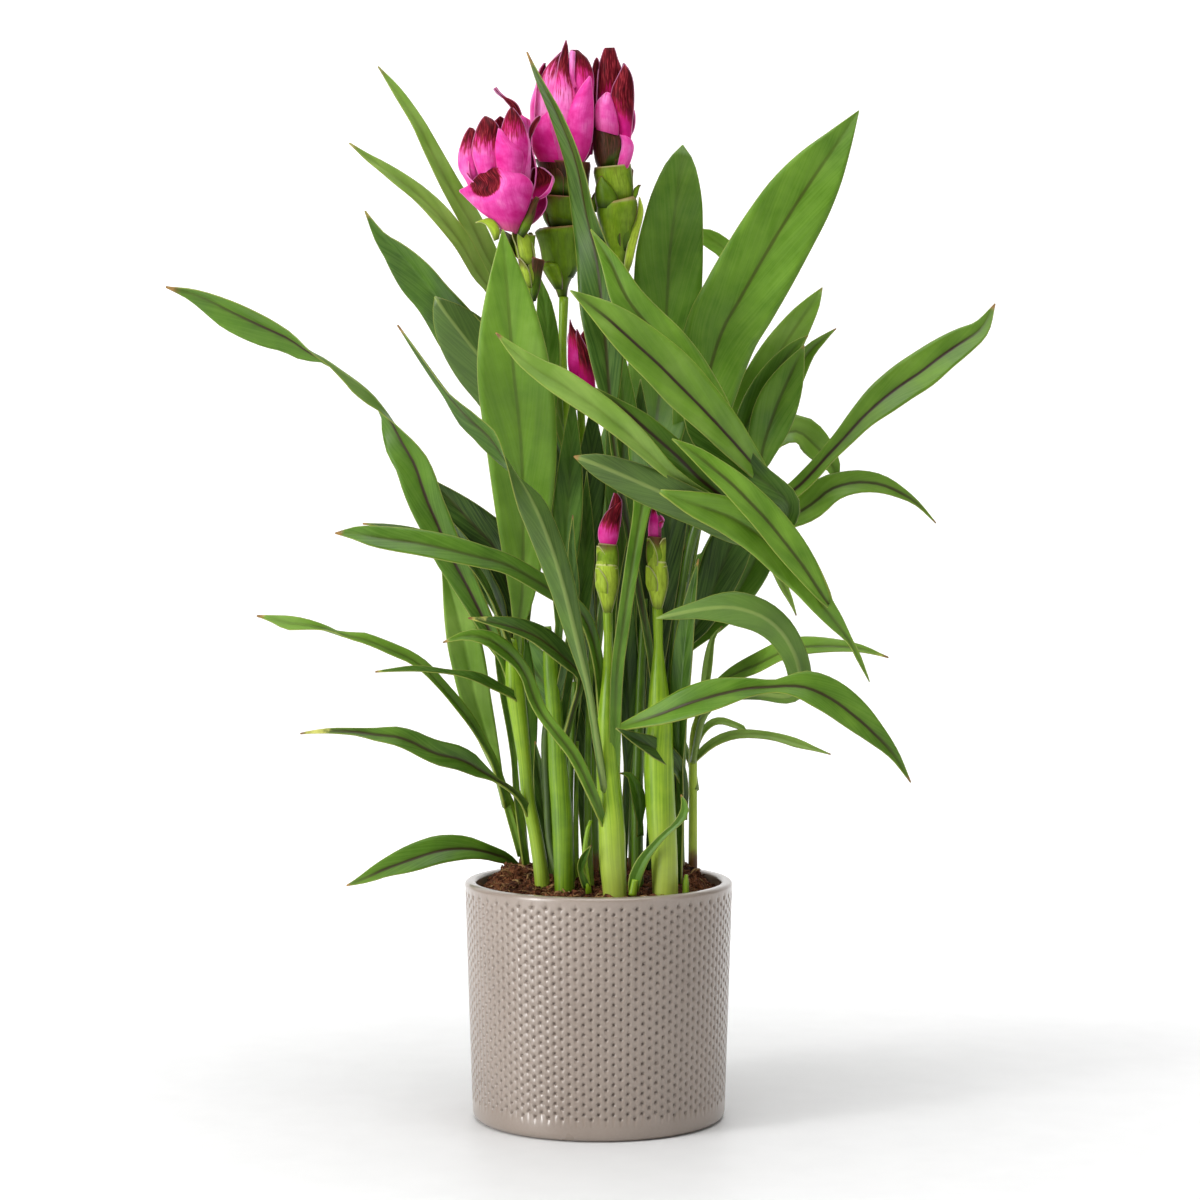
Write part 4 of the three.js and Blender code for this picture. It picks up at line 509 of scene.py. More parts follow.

# (node, reaches down into the soil, look, rows with the radius as fourth number). A look is
# (tone, height of the brown foot, maroon, paleness of the foot). The tone is partly painted
# light and shade: stems in shade are given a darker green.
STEMS = [
    ("shoot_left_back", True, (0.7, 22, 0.2, 0), [(-36.5, 121, 35, 4), (-36.8, 126, 35, 4),
        (-38.5, 131, 35, 2)]),
    ("shoot_left_back", False, (0.9, 20, 0, 0), [(-37, 122, 34, 2.4), (-38.5, 140, 32, 2.2),
        (-41, 150, 28, 2), (-47, 165, 22, 1.8), (-50, 174, 20, 1.4)]),
    ("shoot_left_back", False, (0.9, 20, 0, 0), [(-36, 122, 37, 2.4), (-37.5, 135, 38, 2.2),
        (-38.5, 150, 36, 1.8), (-40, 165, 34, 1.2)]),
    ("shoot_left", True, (1.05, 0, 0, 0.2), [(-28.5, 117, -11, 3.8), (-31.5, 140, -11, 3.4),
        (-35.5, 160, -11, 3.3), (-37.5, 180, -12, 3.3), (-40, 200, -13, 4.2), (-42, 215, -13, 4.8),
        (-43, 228, -13, 4), (-43.5, 242, -14, 2.4)]),
    ("shoot_left", False, (1, 0, 0, 0), [(-41, 212, -11, 2), (-38.5, 250, -8, 1.9),
        (-36, 290, -15, 1.8), (-35.5, 340, -19, 1.8), (-35, 380, -21, 1.8),
        (-34.5, 429, -24, 2.4)]),
    ("shoot_middle", True, (0.85, 0, 0, 0), [(-17.3, 112.5, -23, 4.8), (-18.5, 150, -23, 5.2),
        (-20.5, 175, -23, 4.8), (-22, 200, -24, 4), (-24, 225, -24, 4), (-26, 248, -24, 2)]),
    ("shoot_middle", False, (0.35, 0, 0.1, 0), [(-20, 120, -20, 2.4), (-24.5, 140, -19, 2.2),
        (-26, 165, -19, 2.2), (-27, 190, -20, 2), (-25, 205, -22, 2)]),
    ("shoot_middle", False, (0.95, 0, 0, 0), [(-22, 225, -23, 2), (-16, 300, -14, 1.9),
        (-16, 350, -9, 1.8), (-18, 385, -5, 1.9), (-17.5, 413, -2, 2.4)]),
    ("shoot_front", True, (1, 0, 0, 0.5), [(8.2, 111.5, -33, 5.8), (7, 130, -33, 6.6),
        (6.5, 150, -33, 6.6), (5, 175, -33, 6), (4.5, 200, -33, 5), (5, 222, -33, 3.2),
        (5, 240, -33, 2.2), (4.5, 262, -33, 2.6)]),
    ("shoot_front_right", True, (1, 0, 0, 0.55), [(33.5, 111.7, -30, 6.2), (33, 130, -30, 6.4),
        (31.5, 150, -30, 7.2), (30, 180, -30, 7.4), (30.5, 200, -30, 6.4), (30, 222, -30, 4),
        (30, 238, -30, 2.2), (29.5, 258, -30, 2.6)]),
    ("shoot_front_right", False, (0.45, 0, 0, 0), [(34, 122, -26, 3), (37, 150, -18, 3),
        (38.5, 185, -22, 2.8), (37, 215, -24, 2.6), (38.5, 240, -24, 2.5), (42, 265, -24, 2.5),
        (47, 292, -24, 2.5), (55, 312, -24, 2.6), (68, 321, -24, 2.8), (81, 318, -24, 3),
        (90, 310, -24, 3), (94, 300, -24, 2.4)]),
    ("shoot_right", True, (1.35, 22, 0.05, 0.3), [(47.5, 123, 32, 2.4), (47.5, 150, 32, 2.2),
        (47.8, 190, 31, 2.2), (51, 204, 28, 2)]),
    ("shoot_back_right", True, (0.7, 18, 0, 0), [(18.5, 122, 20, 3.6), (18.5, 160, 22, 3.4),
        (22, 190, 24, 3.2), (30, 220, 28, 3.2), (42, 255, 31, 3.2), (55, 285, 33, 3.2),
        (66, 305, 34, 3), (76, 320, 34, 2.6)]),
    ("shoot_back", True, (0.7, 20, 0, 0), [(-3, 122, 25, 3.6), (-3.5, 150, 25, 3.4),
        (-3.5, 190, 24, 3.2), (-4, 230, 22, 3.2), (-6, 270, 20, 3), (-8, 300, 18, 2.6)]),
    ("shoot_back", False, (1, 0, 0, 0), [(-4, 245, 21, 2), (5, 300, 12, 1.9), (8, 350, 6, 1.9),
        (10, 400, 2, 2), (11.5, 427, 0, 2.4)]),
    ("shoot_back", False, (1, 0, 0, 0), [(-7, 285, 18, 2), (-8, 330, 16, 1.8), (-9, 360, 14, 2)]),
    ("sprout_front", False, (1, 0, 0, 0), [(-5, 113, -33, 1.6), (-7, 130, -33, 1.4),
        (-6, 143, -33, 1.2), (-4, 150, -33, 0.8)]),
    ("sprout_sheath", False, (1, 0, 0, 0), [(17, 112, -38, 2), (18.5, 120, -38, 1.8)]),
    ("sprout_right", False, (1, 0, 0, 0), [(44, 112, -30, 1.7), (44, 118, -30, 1.6),
        (44.3, 122.5, -30, 0.8)]),
    ("shoot_back", False, (0.9, 0, 0, 0), [(-11, 113, 4, 1.4), (-11.5, 150, 4, 1.3),
        (-11, 190, 2, 1.1)]),
    ("shoot_front", False, (0.75, 0, 0, 0.2), [(-4, 112, -12, 2), (-5.5, 150, -12, 1.9),
        (-5, 200, -12, 1.7), (-3, 250, -10, 1.4)]),
    ("shoot_back_right", False, (0.6, 0, 0, 0), [(19.5, 113, -12, 3.1), (19.5, 160, -12, 2.9),
        (20.5, 205, -10, 2.3), (23, 262, -6, 1.6)]),
    ("shoot_middle", False, (0.6, 0, 0, 0), [(-13.5, 113, -4, 1.9), (-14.5, 160, -5, 1.7),
        (-12, 220, -6, 1.4)]),
    ("shoot_right", False, (0.6, 14, 0.1, 0), [(42, 118, 22, 1.8), (41.5, 150, 20, 1.7),
        (43, 200, 16, 1.5)]),
]

# Flower heads by their letter. A bract's row is (turn, base, rise, belly, tip, width), its look
# (tone, darkness of the tip, green of the foot)
HEADS = {
    "a": Head(
        "shoot_left",
        axis=[(-34.5, 425, -24), (-38, 445, -24), (-46, 472, -25), (-50, 510, -25)],
        cup_tone=1.6,
        cups=[(418, 431, 2.4, 3.8, 90, 1.2), (429, 444, 3.5, 4.4, 30, 0.9)],
        root=5.5,
        core=[(445.6, 4), (452, 6.5), (466, 6.5), (482, 2)],
        coma=[((150, 456, 40, 18, 15, 24), (0.9, 0.9, 0)), ((90, 458, 46, 15, 7, 26), (0.8, 1, 0)),
              ((30, 458, 40, 15, 10, 22), (0.9, 0.9, 0)),
              ((60, 449.5, 27, 17, 18, 30), (1, 0.6, 0.4)),
              ((125, 449.5, 26, 18, 19, 28), (1, 0.6, 0.4)),
              ((180, 449.5, 26, 17, 19, 24), (1, 0.3, 0.3))],
    ),
    "b": Head(
        "shoot_middle",
        axis=[(-17.5, 410, -2), (-18, 480, -2), (-18, 545, -2)],
        cup_tone=1,
        cups=[(423, 446, 5, 9.6, 90, 0.8), (448, 461, 7.5, 9.6, 30, 1),
              (463, 479, 8.5, 11.2, 90, 1.5)],
        root=6.5,
        core=[(474.4, 6.5), (484, 7.5), (492, 6), (505, 2)],
        coma=[((160, 478, 52, 15.5, 9, 26), (1.2, 0.8, 0)),
              ((95, 478, 58, 15.3, 6, 28), (1, 1.1, 0)), ((35, 478, 50, 14.5, 8, 26), (0.9, 1, 0)),
              ((65, 476.5, 32, 16.5, 14, 30), (1.2, 0.4, 0.3)),
              ((130, 476.5, 30, 16.5, 14, 30), (1.2, 0.4, 0.3))],
    ),
    "c": Head(
        "shoot_back",
        axis=[(11.5, 425, 0), (9, 465, 0), (7.5, 500, 0), (7, 540, 0)],
        cup_tone=1,
        cups=[(436, 457, 5, 8.8, 90, 0.8), (459, 476, 6.5, 8.2, 30, 1),
              (476, 494, 6.5, 7.6, 90, 1.5)],
        root=4,
        core=[(488.6, 4.4), (496, 5), (504, 4), (515, 1.5)],
        coma=[((160, 492, 38, 9, 5, 14), (0.5, 1.8, 0)), ((100, 492, 44, 9, 3, 16), (0.8, 1.5, 0)),
              ((35, 492, 38, 10, 6, 16), (0.6, 1.6, 0)),
              ((70, 489, 24, 11, 9, 22), (1.1, 0.6, 0.3))],
    ),
    "d": Head(
        "shoot_back",
        axis=[(-9, 365, 14), (-9, 405, 14)],
        cup_tone=1,
        cups=[(357, 373, 3, 6.5, -30, 1)],
        root=2.4,
        core=[(371.4, 2.4), (380, 3), (388, 1.5)],
        coma=[((60, 378, 20, 6, 5, 10), (0.6, 1.4, 0)), ((140, 378, 20, 6, 5, 10), (0.6, 1.4, 0))],
    ),
    "e": Head(
        "shoot_front",
        axis=[(4.5, 255, -33), (4.5, 290, -33), (6, 318, -33)],
        cup_tone=1.6,
        cups=[(262, 276, 3, 5.4, 90, 0.8), (273, 287, 4, 4.8, 90, 1)],
        root=2,
        core=[(286.4, 2.6), (294, 3), (304, 1.5)],
        coma=[((40, 290, 14, 3.8, 2, 7), (0.8, 1.2, 0.3)),
              ((130, 290, 13, 3.6, 1.6, 7), (0.9, 1.1, 0.3))],
    ),
    "f": Head(
        "shoot_front_right",
        axis=[(29.5, 255, -30), (29.5, 290, -30), (29, 310, -30)],
        cup_tone=1.6,
        cups=[(263, 277, 3, 5, 90, 0.8), (274, 291, 4, 4.4, 90, 1)],
        root=1.6,
        core=[(290.4, 2), (298, 2.2), (304, 1)],
        coma=[((50, 297, 7, 3, 2.5, 5), (1.2, 0.5, 0.4)),
              ((130, 297, 8, 3, 1.5, 5), (1.2, 0.5, 0.4))],
    ),
}

# (node, petals) in the order in which the petals are made
PETALS = [
    # Left flower
    ("coma_a", [
        Petal("left", depth=-22, bulge=5, tone=1.15, dark=0.95, rows=[
            (-62, 460, -56, 458), (-66, 470, -58, 468), (-70, 477, -59, 476),
            (-70.3, 484, -59.5, 484), (-68.8, 490, -60, 490), (-67, 494.5, -61, 495),
            (-64.8, 497.8, -62.6, 497.3)]),
        Petal("front_left", depth=-27, bulge=8, tone=1.2, dark=1.15, rows=[
            (-57, 462, -50, 460), (-60, 473, -49.5, 473), (-62.8, 482, -49, 482),
            (-63.5, 488, -49, 489), (-62.2, 494, -49.2, 494.5), (-60.3, 499, -50, 498.5),
            (-58.2, 502.3, -53.5, 502.3), (-57.2, 503.3, -56, 503.3)]),
        Petal("middle", depth=-28, bulge=7, tone=0.95, dark=0.95, rows=[
            (-48, 462, -38, 462), (-50, 478, -35.8, 478), (-50.5, 488, -34.8, 488),
            (-49.3, 495.5, -35.8, 494.5), (-47.8, 500.5, -37.4, 499.8), (-46, 505, -40, 504.3),
            (-44.3, 507.4, -42.6, 507.4)]),
        Petal("middle_front", depth=-31, bulge=8, dark=0.3, rows=[
            (-48, 462, -40, 462), (-50.3, 474, -38.5, 474), (-51.8, 482, -37.4, 480.5),
            (-52.2, 488, -37.8, 486), (-51.5, 492.5, -43, 490.5), (-50.2, 497.3, -48.7, 496.8)]),
        Petal("right_edge", depth=-28, bulge=3, tone=1.35, dark=0.4, rows=[
            (-41, 468, -34.5, 470), (-39.5, 475, -33.9, 477), (-37.2, 482, -33.8, 484),
            (-36.4, 488, -34.2, 490), (-36.8, 494, -35.6, 495)]),
        Petal("right_behind", depth=-20, bulge=4, tone=1.1, dark=0.4, rows=[
            (-42, 470, -33, 472), (-40, 485, -33, 485), (-39.5, 495, -33.2, 494),
            (-39.3, 501, -33.5, 499), (-38.8, 504, -34.4, 501.5)]),
        Petal("dark_edge", depth=-26, bulge=1.2, tone=0.2, dark=2.6, rows=[
            (-35, 484, -33.9, 484), (-35, 492, -33.6, 491.5), (-34.8, 497, -32.6, 494.5),
            (-33.2, 500.5, -30.8, 498.5), (-31, 503, -29.3, 501), (-29.8, 503.5, -28.8, 503.2)]),
        Petal("curled", depth=-18, bulge=1.6, tone=0.9, dark=1.75, curl=-0.5, rows=[
            (-42, 488, -35, 488), (-42, 497, -36.5, 497), (-42, 503, -38, 503.5),
            (-44.2, 507.5, -40, 508.5), (-46.3, 510, -43, 511.3), (-48.7, 512.8, -47.2, 513.2),
            (-51.2, 515, -49.8, 515.6), (-52.4, 517, -51.3, 517.6)]),
        Petal("lower", depth=-33, bulge=11, dark=0.25, foot=0.3,
            hollow=(-57, 470, 9, 9.6, 5.5), rows=[
            (-48.5, 446.5, -40.5, 445), (-53, 451, -38.5, 449.5), (-58.5, 455, -36.3, 454),
            (-63.5, 459.5, -34.5, 459), (-67.5, 463.5, -33, 464.5), (-69.8, 466.2, -32.6, 468),
            (-66.8, 468, -33.8, 471), (-64.5, 469.5, -37, 474), (-63, 471.5, -42, 476.2),
            (-60, 474.5, -48, 477.5), (-56, 477, -51.5, 477.7)]),
        Petal("lower_right_inner", depth=-26, bulge=-3, tone=0.3, dark=(2.3, 1.5), rows=[
            (-33, 462, -29, 463), (-34, 466, -25.5, 465.5), (-34.3, 470, -23.3, 469),
            (-34, 474, -22.8, 472.5), (-33, 477, -27, 476.6), (-31, 477.5, -29, 477.5)]),
        Petal("lower_right_margin", depth=-29, bulge=0.8, tone=1.1, dark=0.1, rows=[
            (-32, 461.8, -30, 461.5), (-28.5, 464, -26.5, 463.2), (-25.6, 467, -23.9, 466),
            (-24.1, 470, -22.9, 470), (-23.3, 473, -22.8, 472.6)]),
    ]),
    ("shoot_left", [
        Petal("outside", depth=-33, bulge=3, dark=1.5, rows=[
            (-41, 445, -37.5, 442.5), (-39.5, 449, -34.5, 447), (-36.5, 455, -32, 453.5),
            (-34, 460, -30.8, 459), (-31.5, 463.5, -29.5, 462.5)]),
        Petal("curled_green", depth=-36, bulge=1.5, tone=1.6, dark=0.75, rows=[
            (-52.5, 441, -49.8, 442), (-54, 445, -49.3, 446.5), (-56.3, 448.8, -51.5, 450.8),
            (-59, 450.2, -55.3, 452.6), (-61.5, 450, -60.5, 451)]),
        Petal("upper_cup", depth=-24, bulge=3.5, tone=1.3, dark=0.85, rows=[
            (-37, 430, -33, 430), (-38.5, 436, -32.3, 436), (-40, 441, -31.8, 441),
            (-41, 445, -31.5, 444)]),
        Petal("low_cup", depth=-24, bulge=3.5, tone=0.8, dark=1.35, rows=[
            (-34.5, 411, -31.5, 411), (-35, 417, -29.5, 417), (-35.6, 424, -28.4, 424),
            (-35.8, 430, -27.3, 429.5), (-35.2, 434, -27, 431.5)]),
    ]),
    # Middle flower
    ("coma_b", [
        Petal("left", depth=0, bulge=9, tone=1.5, dark=0.8, rows=[
            (-28, 480, -14, 480), (-32.5, 490, -14, 490), (-34.2, 500, -14, 500),
            (-34.3, 509, -15, 509), (-32.3, 516.5, -16, 516), (-29.5, 522, -17, 522),
            (-26, 528, -17.5, 528), (-22.5, 531.8, -18, 532), (-19.8, 533.8, -18.6, 533.8)]),
        Petal("behind_right", depth=-2, bulge=7, tone=0.95, dark=0.95, rows=[
            (-16, 490, -3, 490), (-16, 510, -2.6, 510), (-15, 522, -2.2, 520),
            (-14.8, 530, -2.8, 525.5), (-14.5, 535.5, -5, 531), (-12, 537, -7.5, 534),
            (-10.5, 536.2, -9.5, 535.5)]),
        Petal("right", depth=2, bulge=4, tone=0.7, rows=[
            (-10, 484, -3, 484), (-8, 495, -1.5, 496), (-7, 510, -1.6, 508), (-6, 520, -1.8, 517),
            (-4.5, 526, -2.6, 524)]),
        Petal("front_left", depth=-7, bulge=9, tone=1.3, dark=1.1, rows=[
            (-27, 480, -10, 480), (-28, 492, -9, 490), (-26.5, 503, -9.5, 500),
            (-23.5, 512, -10, 508), (-22, 519, -11.5, 515), (-21, 525, -13.8, 522),
            (-20.2, 530, -14.8, 528), (-18.8, 535, -14.9, 533), (-17.4, 539, -15.2, 537.5),
            (-16.6, 541, -16, 541)]),
        Petal("rolled_edge", depth=-8, bulge=2, tone=1.5, dark=0.2, rows=[
            (-14.5, 515, -11, 518), (-14.8, 524, -12, 522), (-14.8, 531, -11.8, 528),
            (-14.3, 535.2, -11.6, 533.5), (-13, 535.8, -11.7, 535.2)]),
        Petal("lower_left", depth=-8, bulge=8, tone=0.85, dark=0.1, rows=[
            (-30, 480.6, -14, 480), (-33, 486, -15, 485), (-34.3, 492, -17, 491),
            (-33.5, 497.5, -20, 497), (-30.5, 501.5, -22, 501), (-27, 504.5, -24, 504.5),
            (-25.5, 506, -24.8, 506)]),
        Petal("front_right", depth=-9, bulge=9, tone=0.95, dark=0.1, rows=[
            (-15, 480.5, -7.5, 480), (-17, 486, -4.5, 486), (-18.5, 493, -2.9, 493),
            (-18.2, 500, -2.4, 500), (-16.2, 506, -2.3, 507), (-13.5, 511, -2.5, 512),
            (-11.2, 514.5, -3, 517), (-8.3, 518.8, -3.3, 519.5), (-6.3, 521.3, -3.6, 521.8),
            (-4.8, 523.2, -4.2, 523.3)]),
    ]),
    ("shoot_middle", [
        Petal("top_cup", depth=1, bulge=12, tone=0.6, dark=1.45, lean=-5, rows=[
            (-24, 461, -8, 461), (-26.5, 463, -5.5, 463), (-27.6, 468, -5, 468),
            (-28.6, 473, -4.6, 473), (-30.5, 478.5, -4, 478), (-32, 481.8, -4.4, 480.4)]),
        Petal("middle_cup", depth=2, bulge=12, tone=1.05, dark=(1.1, 0.8), lean=-6, rows=[
            (-22.5, 446.5, -10, 446.5), (-26, 450.5, -8, 450), (-27.9, 454.5, -7, 454.5),
            (-28.4, 459, -6.5, 459), (-28.8, 462.5, -6.2, 462), (-28, 464.4, -7, 463)]),
        Petal("low_cup", depth=1, bulge=12, tone=1.1, dark=(0.75, 0.6), lean=-6, rows=[
            (-20.3, 413, -15.8, 413), (-22, 417.5, -15.2, 418), (-25, 422, -13.2, 423),
            (-27.2, 426, -11.2, 427), (-28.4, 431, -10.4, 431), (-29.4, 437, -10.4, 438),
            (-30.8, 442, -10.2, 443), (-32, 445.5, -9.6, 446.5), (-29.5, 447.6, -10, 449.3)]),
        Petal("low_lobe", depth=-6, bulge=6, tone=1.2, dark=0.9, lean=-3, rows=[
            (-22, 417, -18, 417), (-26.3, 423.5, -18, 424), (-28.2, 427.5, -20, 429.5),
            (-27.2, 430.8, -24.8, 431)]),
    ]),
    # Right flower
    ("coma_c", [
        Petal("left_dark", depth=2, bulge=3, tone=0.2, dark=2.2, rows=[
            (-4, 500, 0, 500), (-4.2, 510, 0.5, 510), (-4, 518, 1, 518), (-3.6, 525, 1, 526),
            (-2.6, 530, 0.3, 530.5), (-1.4, 532.3, -0.6, 532.4)]),
        Petal("centre", depth=1, bulge=6, tone=0.6, dark=1.5, rows=[
            (-1, 495, 12, 495), (-1, 508, 13, 508), (-0.5, 520, 12.5, 520), (0, 528, 11.5, 527),
            (1.2, 533, 9.8, 531.5), (2.4, 536.5, 8.6, 535.5), (3, 537.2, 8, 537.3)]),
        Petal("right_striped", depth=-5, bulge=6, tone=0.8, dark=(1.45, 2.1), rows=[
            (10, 490, 16, 490), (9.5, 497, 16.8, 497), (7.5, 505, 17.6, 505), (6, 511, 17.9, 511),
            (6.5, 517, 17.8, 517), (8.8, 522, 17.2, 521.5), (10.8, 526, 15.8, 525.5),
            (12.4, 529, 13.4, 528.6)]),
        Petal("front", depth=-6, bulge=7, tone=1.25, dark=0.3, rows=[
            (-1.5, 496.5, 10, 493.5), (-2.4, 500.5, 10.3, 498), (-2.5, 505, 9.7, 503),
            (-1.2, 510, 8.5, 507.5), (1.5, 513.3, 7.2, 511.5), (3.8, 515.3, 5.8, 514.8)]),
        Petal("lower_right", depth=-7, bulge=3, tone=1.2, dark=0.2, rows=[
            (9.3, 478.4, 14.4, 476.8), (9.8, 481, 16, 480.4), (10.5, 484.5, 17.2, 484.5),
            (11.1, 488, 17.7, 488), (10.9, 491.3, 16.6, 491.3), (10.2, 494, 14.3, 493.5)]),
    ]),
    ("shoot_back", [
        Petal("top_cup", depth=0, bulge=9, tone=0.6, dark=(2.1, 1.2), lean=-3, rows=[
            (0, 476.5, 9.5, 476.5), (-1.6, 480, 11, 479.5), (-2.4, 484, 12.4, 483),
            (-2.8, 489, 13, 487.5), (-3, 494, 12.6, 491.5), (-3.1, 498, 10.5, 494.4)]),
        Petal("middle_cup", depth=2, bulge=9.5, tone=1.3, dark=(1, 0.8), lean=-5, rows=[
            (3, 456, 14, 456), (-0.3, 460, 17, 461), (-1, 466, 17.4, 467), (-1.8, 471, 17, 472),
            (-2.6, 475, 16.6, 476), (-2.2, 477.8, 16, 479.6)]),
        Petal("middle_fold", depth=-6, bulge=6.5, tone=0.95, dark=(0.95, 0.4), lean=-3, rows=[
            (-1, 457.5, 10.5, 457.5), (-1.8, 462, 10.2, 461.5), (-1.9, 466, 8.8, 465.3),
            (-1.2, 469.6, 6, 469), (0.2, 472.6, 3, 472), (1.2, 473.6, 2, 473.4)]),
        Petal("side_tip", depth=-4, bulge=1.5, tone=1.1, rows=[
            (14, 459, 18, 461), (16.5, 463, 19.5, 464), (17.5, 467, 20.4, 467.3),
            (19.8, 469.2, 21.3, 469)]),
        Petal("low_cup", depth=1, bulge=10, tone=1.25, dark=(0.95, 0.75), lean=-5, rows=[
            (9, 424, 13, 424), (7, 430, 13.4, 430), (4.8, 437, 14.4, 437), (2.2, 444, 16, 444),
            (0.2, 450, 18.2, 450), (-1, 455, 19.2, 455.5), (-0.8, 458.5, 19.4, 460.5),
            (1.5, 459.6, 17.6, 463.6)]),
        Petal("side_leaf", depth=-5, bulge=1.2, tone=1.7, dark=0.3, rows=[
            (12.5, 424, 14.5, 424), (12.8, 431, 16.8, 430), (14, 438, 18.6, 438),
            (16, 446, 20.6, 446), (18.5, 452, 22.2, 453), (19.5, 458, 22.4, 457.5),
            (20, 463, 20.8, 463)]),
        Petal("left_cup_edge", depth=0, bulge=2, dark=(1.6, 0.6), rows=[
            (-3, 455.5, -0.5, 455.5), (-4.2, 459, -0.8, 460), (-3.4, 463.4, -1.4, 464.4),
            (-2.2, 465.2, -1.6, 465.4)]),
    ]),
    # Buds
    ("coma_d", [
        Petal("left", depth=13, bulge=4, tone=0.6, dark=1.2, rows=[
            (-13, 371, -6, 371), (-15.3, 378, -5, 378), (-15.6, 386, -5.5, 386),
            (-15.2, 394, -8.5, 393), (-14.9, 399, -12.3, 397.5), (-14.6, 402, -14.2, 402)]),
        Petal("right", depth=11, bulge=4, tone=0.16, dark=(1.6, 2.3), rows=[
            (-9, 367, -1.5, 367), (-10.5, 376, -2.2, 376), (-11, 384, -4, 384),
            (-11.6, 392, -7.5, 391), (-11.2, 397.3, -10.5, 397)]),
    ]),
    ("coma_e", [
        Petal("tip", depth=-33, bulge=3, tone=0.6, dark=1.8, rows=[
            (3, 298, 11, 298), (5, 307, 11.8, 307), (6.5, 312, 11.6, 311.5),
            (7.5, 315.2, 9.5, 314.8)]),
        Petal("wrap", depth=-34, bulge=5, dark=(1.4, 1.9), rows=[
            (1.5, 288, 8.5, 288), (-0.2, 292, 9.8, 292), (-0.2, 297, 10.6, 297),
            (1.6, 302, 11.3, 303), (4.2, 306, 11.8, 308), (8.5, 309.5, 11.8, 311)]),
    ]),
    ("coma_f", [
        Petal("left", depth=-30, bulge=3, tone=0.9, dark=0.8, rows=[
            (25, 291, 30.5, 291), (24.8, 297, 30.8, 297), (25.4, 302, 30, 302.5),
            (26.6, 307.5, 28.4, 307.5)]),
        Petal("right", depth=-30.5, bulge=1.6, tone=0.7, dark=0.9, rows=[
            (26.5, 294, 31, 295), (28.5, 299, 31.8, 298.6), (31.6, 301.5, 33, 301)]),
    ]),
    ("shoot_front", [
        Petal("upper_cup", depth=-32, bulge=5.5, tone=1.3, dark=1.05, lean=-2, rows=[
            (0.5, 272, 8.5, 272), (-0.9, 277, 9.8, 277), (-1.2, 283, 10.2, 283),
            (-0.2, 290, 9.4, 289)]),
        Petal("lower_cup", depth=-33, bulge=5.8, tone=1.7, dark=0.7, rows=[
            (2.6, 254, 6.6, 254), (0.6, 261, 8.4, 261), (-1.5, 268, 10, 268), (-2, 274, 10.3, 274),
            (-1.4, 279.5, 9.6, 279)]),
    ]),
    ("shoot_front_right", [
        Petal("upper_cup", depth=-29, bulge=4.8, tone=1.2, dark=1.15, lean=-2, rows=[
            (26, 275, 33, 275), (24, 281, 33.6, 281), (23.8, 287, 33, 287),
            (24.6, 293.5, 31.6, 292.8)]),
        Petal("lower_cup", depth=-30, bulge=5.4, tone=1.7, dark=0.7, rows=[
            (28, 255, 31.5, 255), (26, 262, 33.4, 262), (24.4, 269, 35, 269), (24.3, 275, 35, 275),
            (25, 281, 33.8, 280.5)]),
    ]),
]


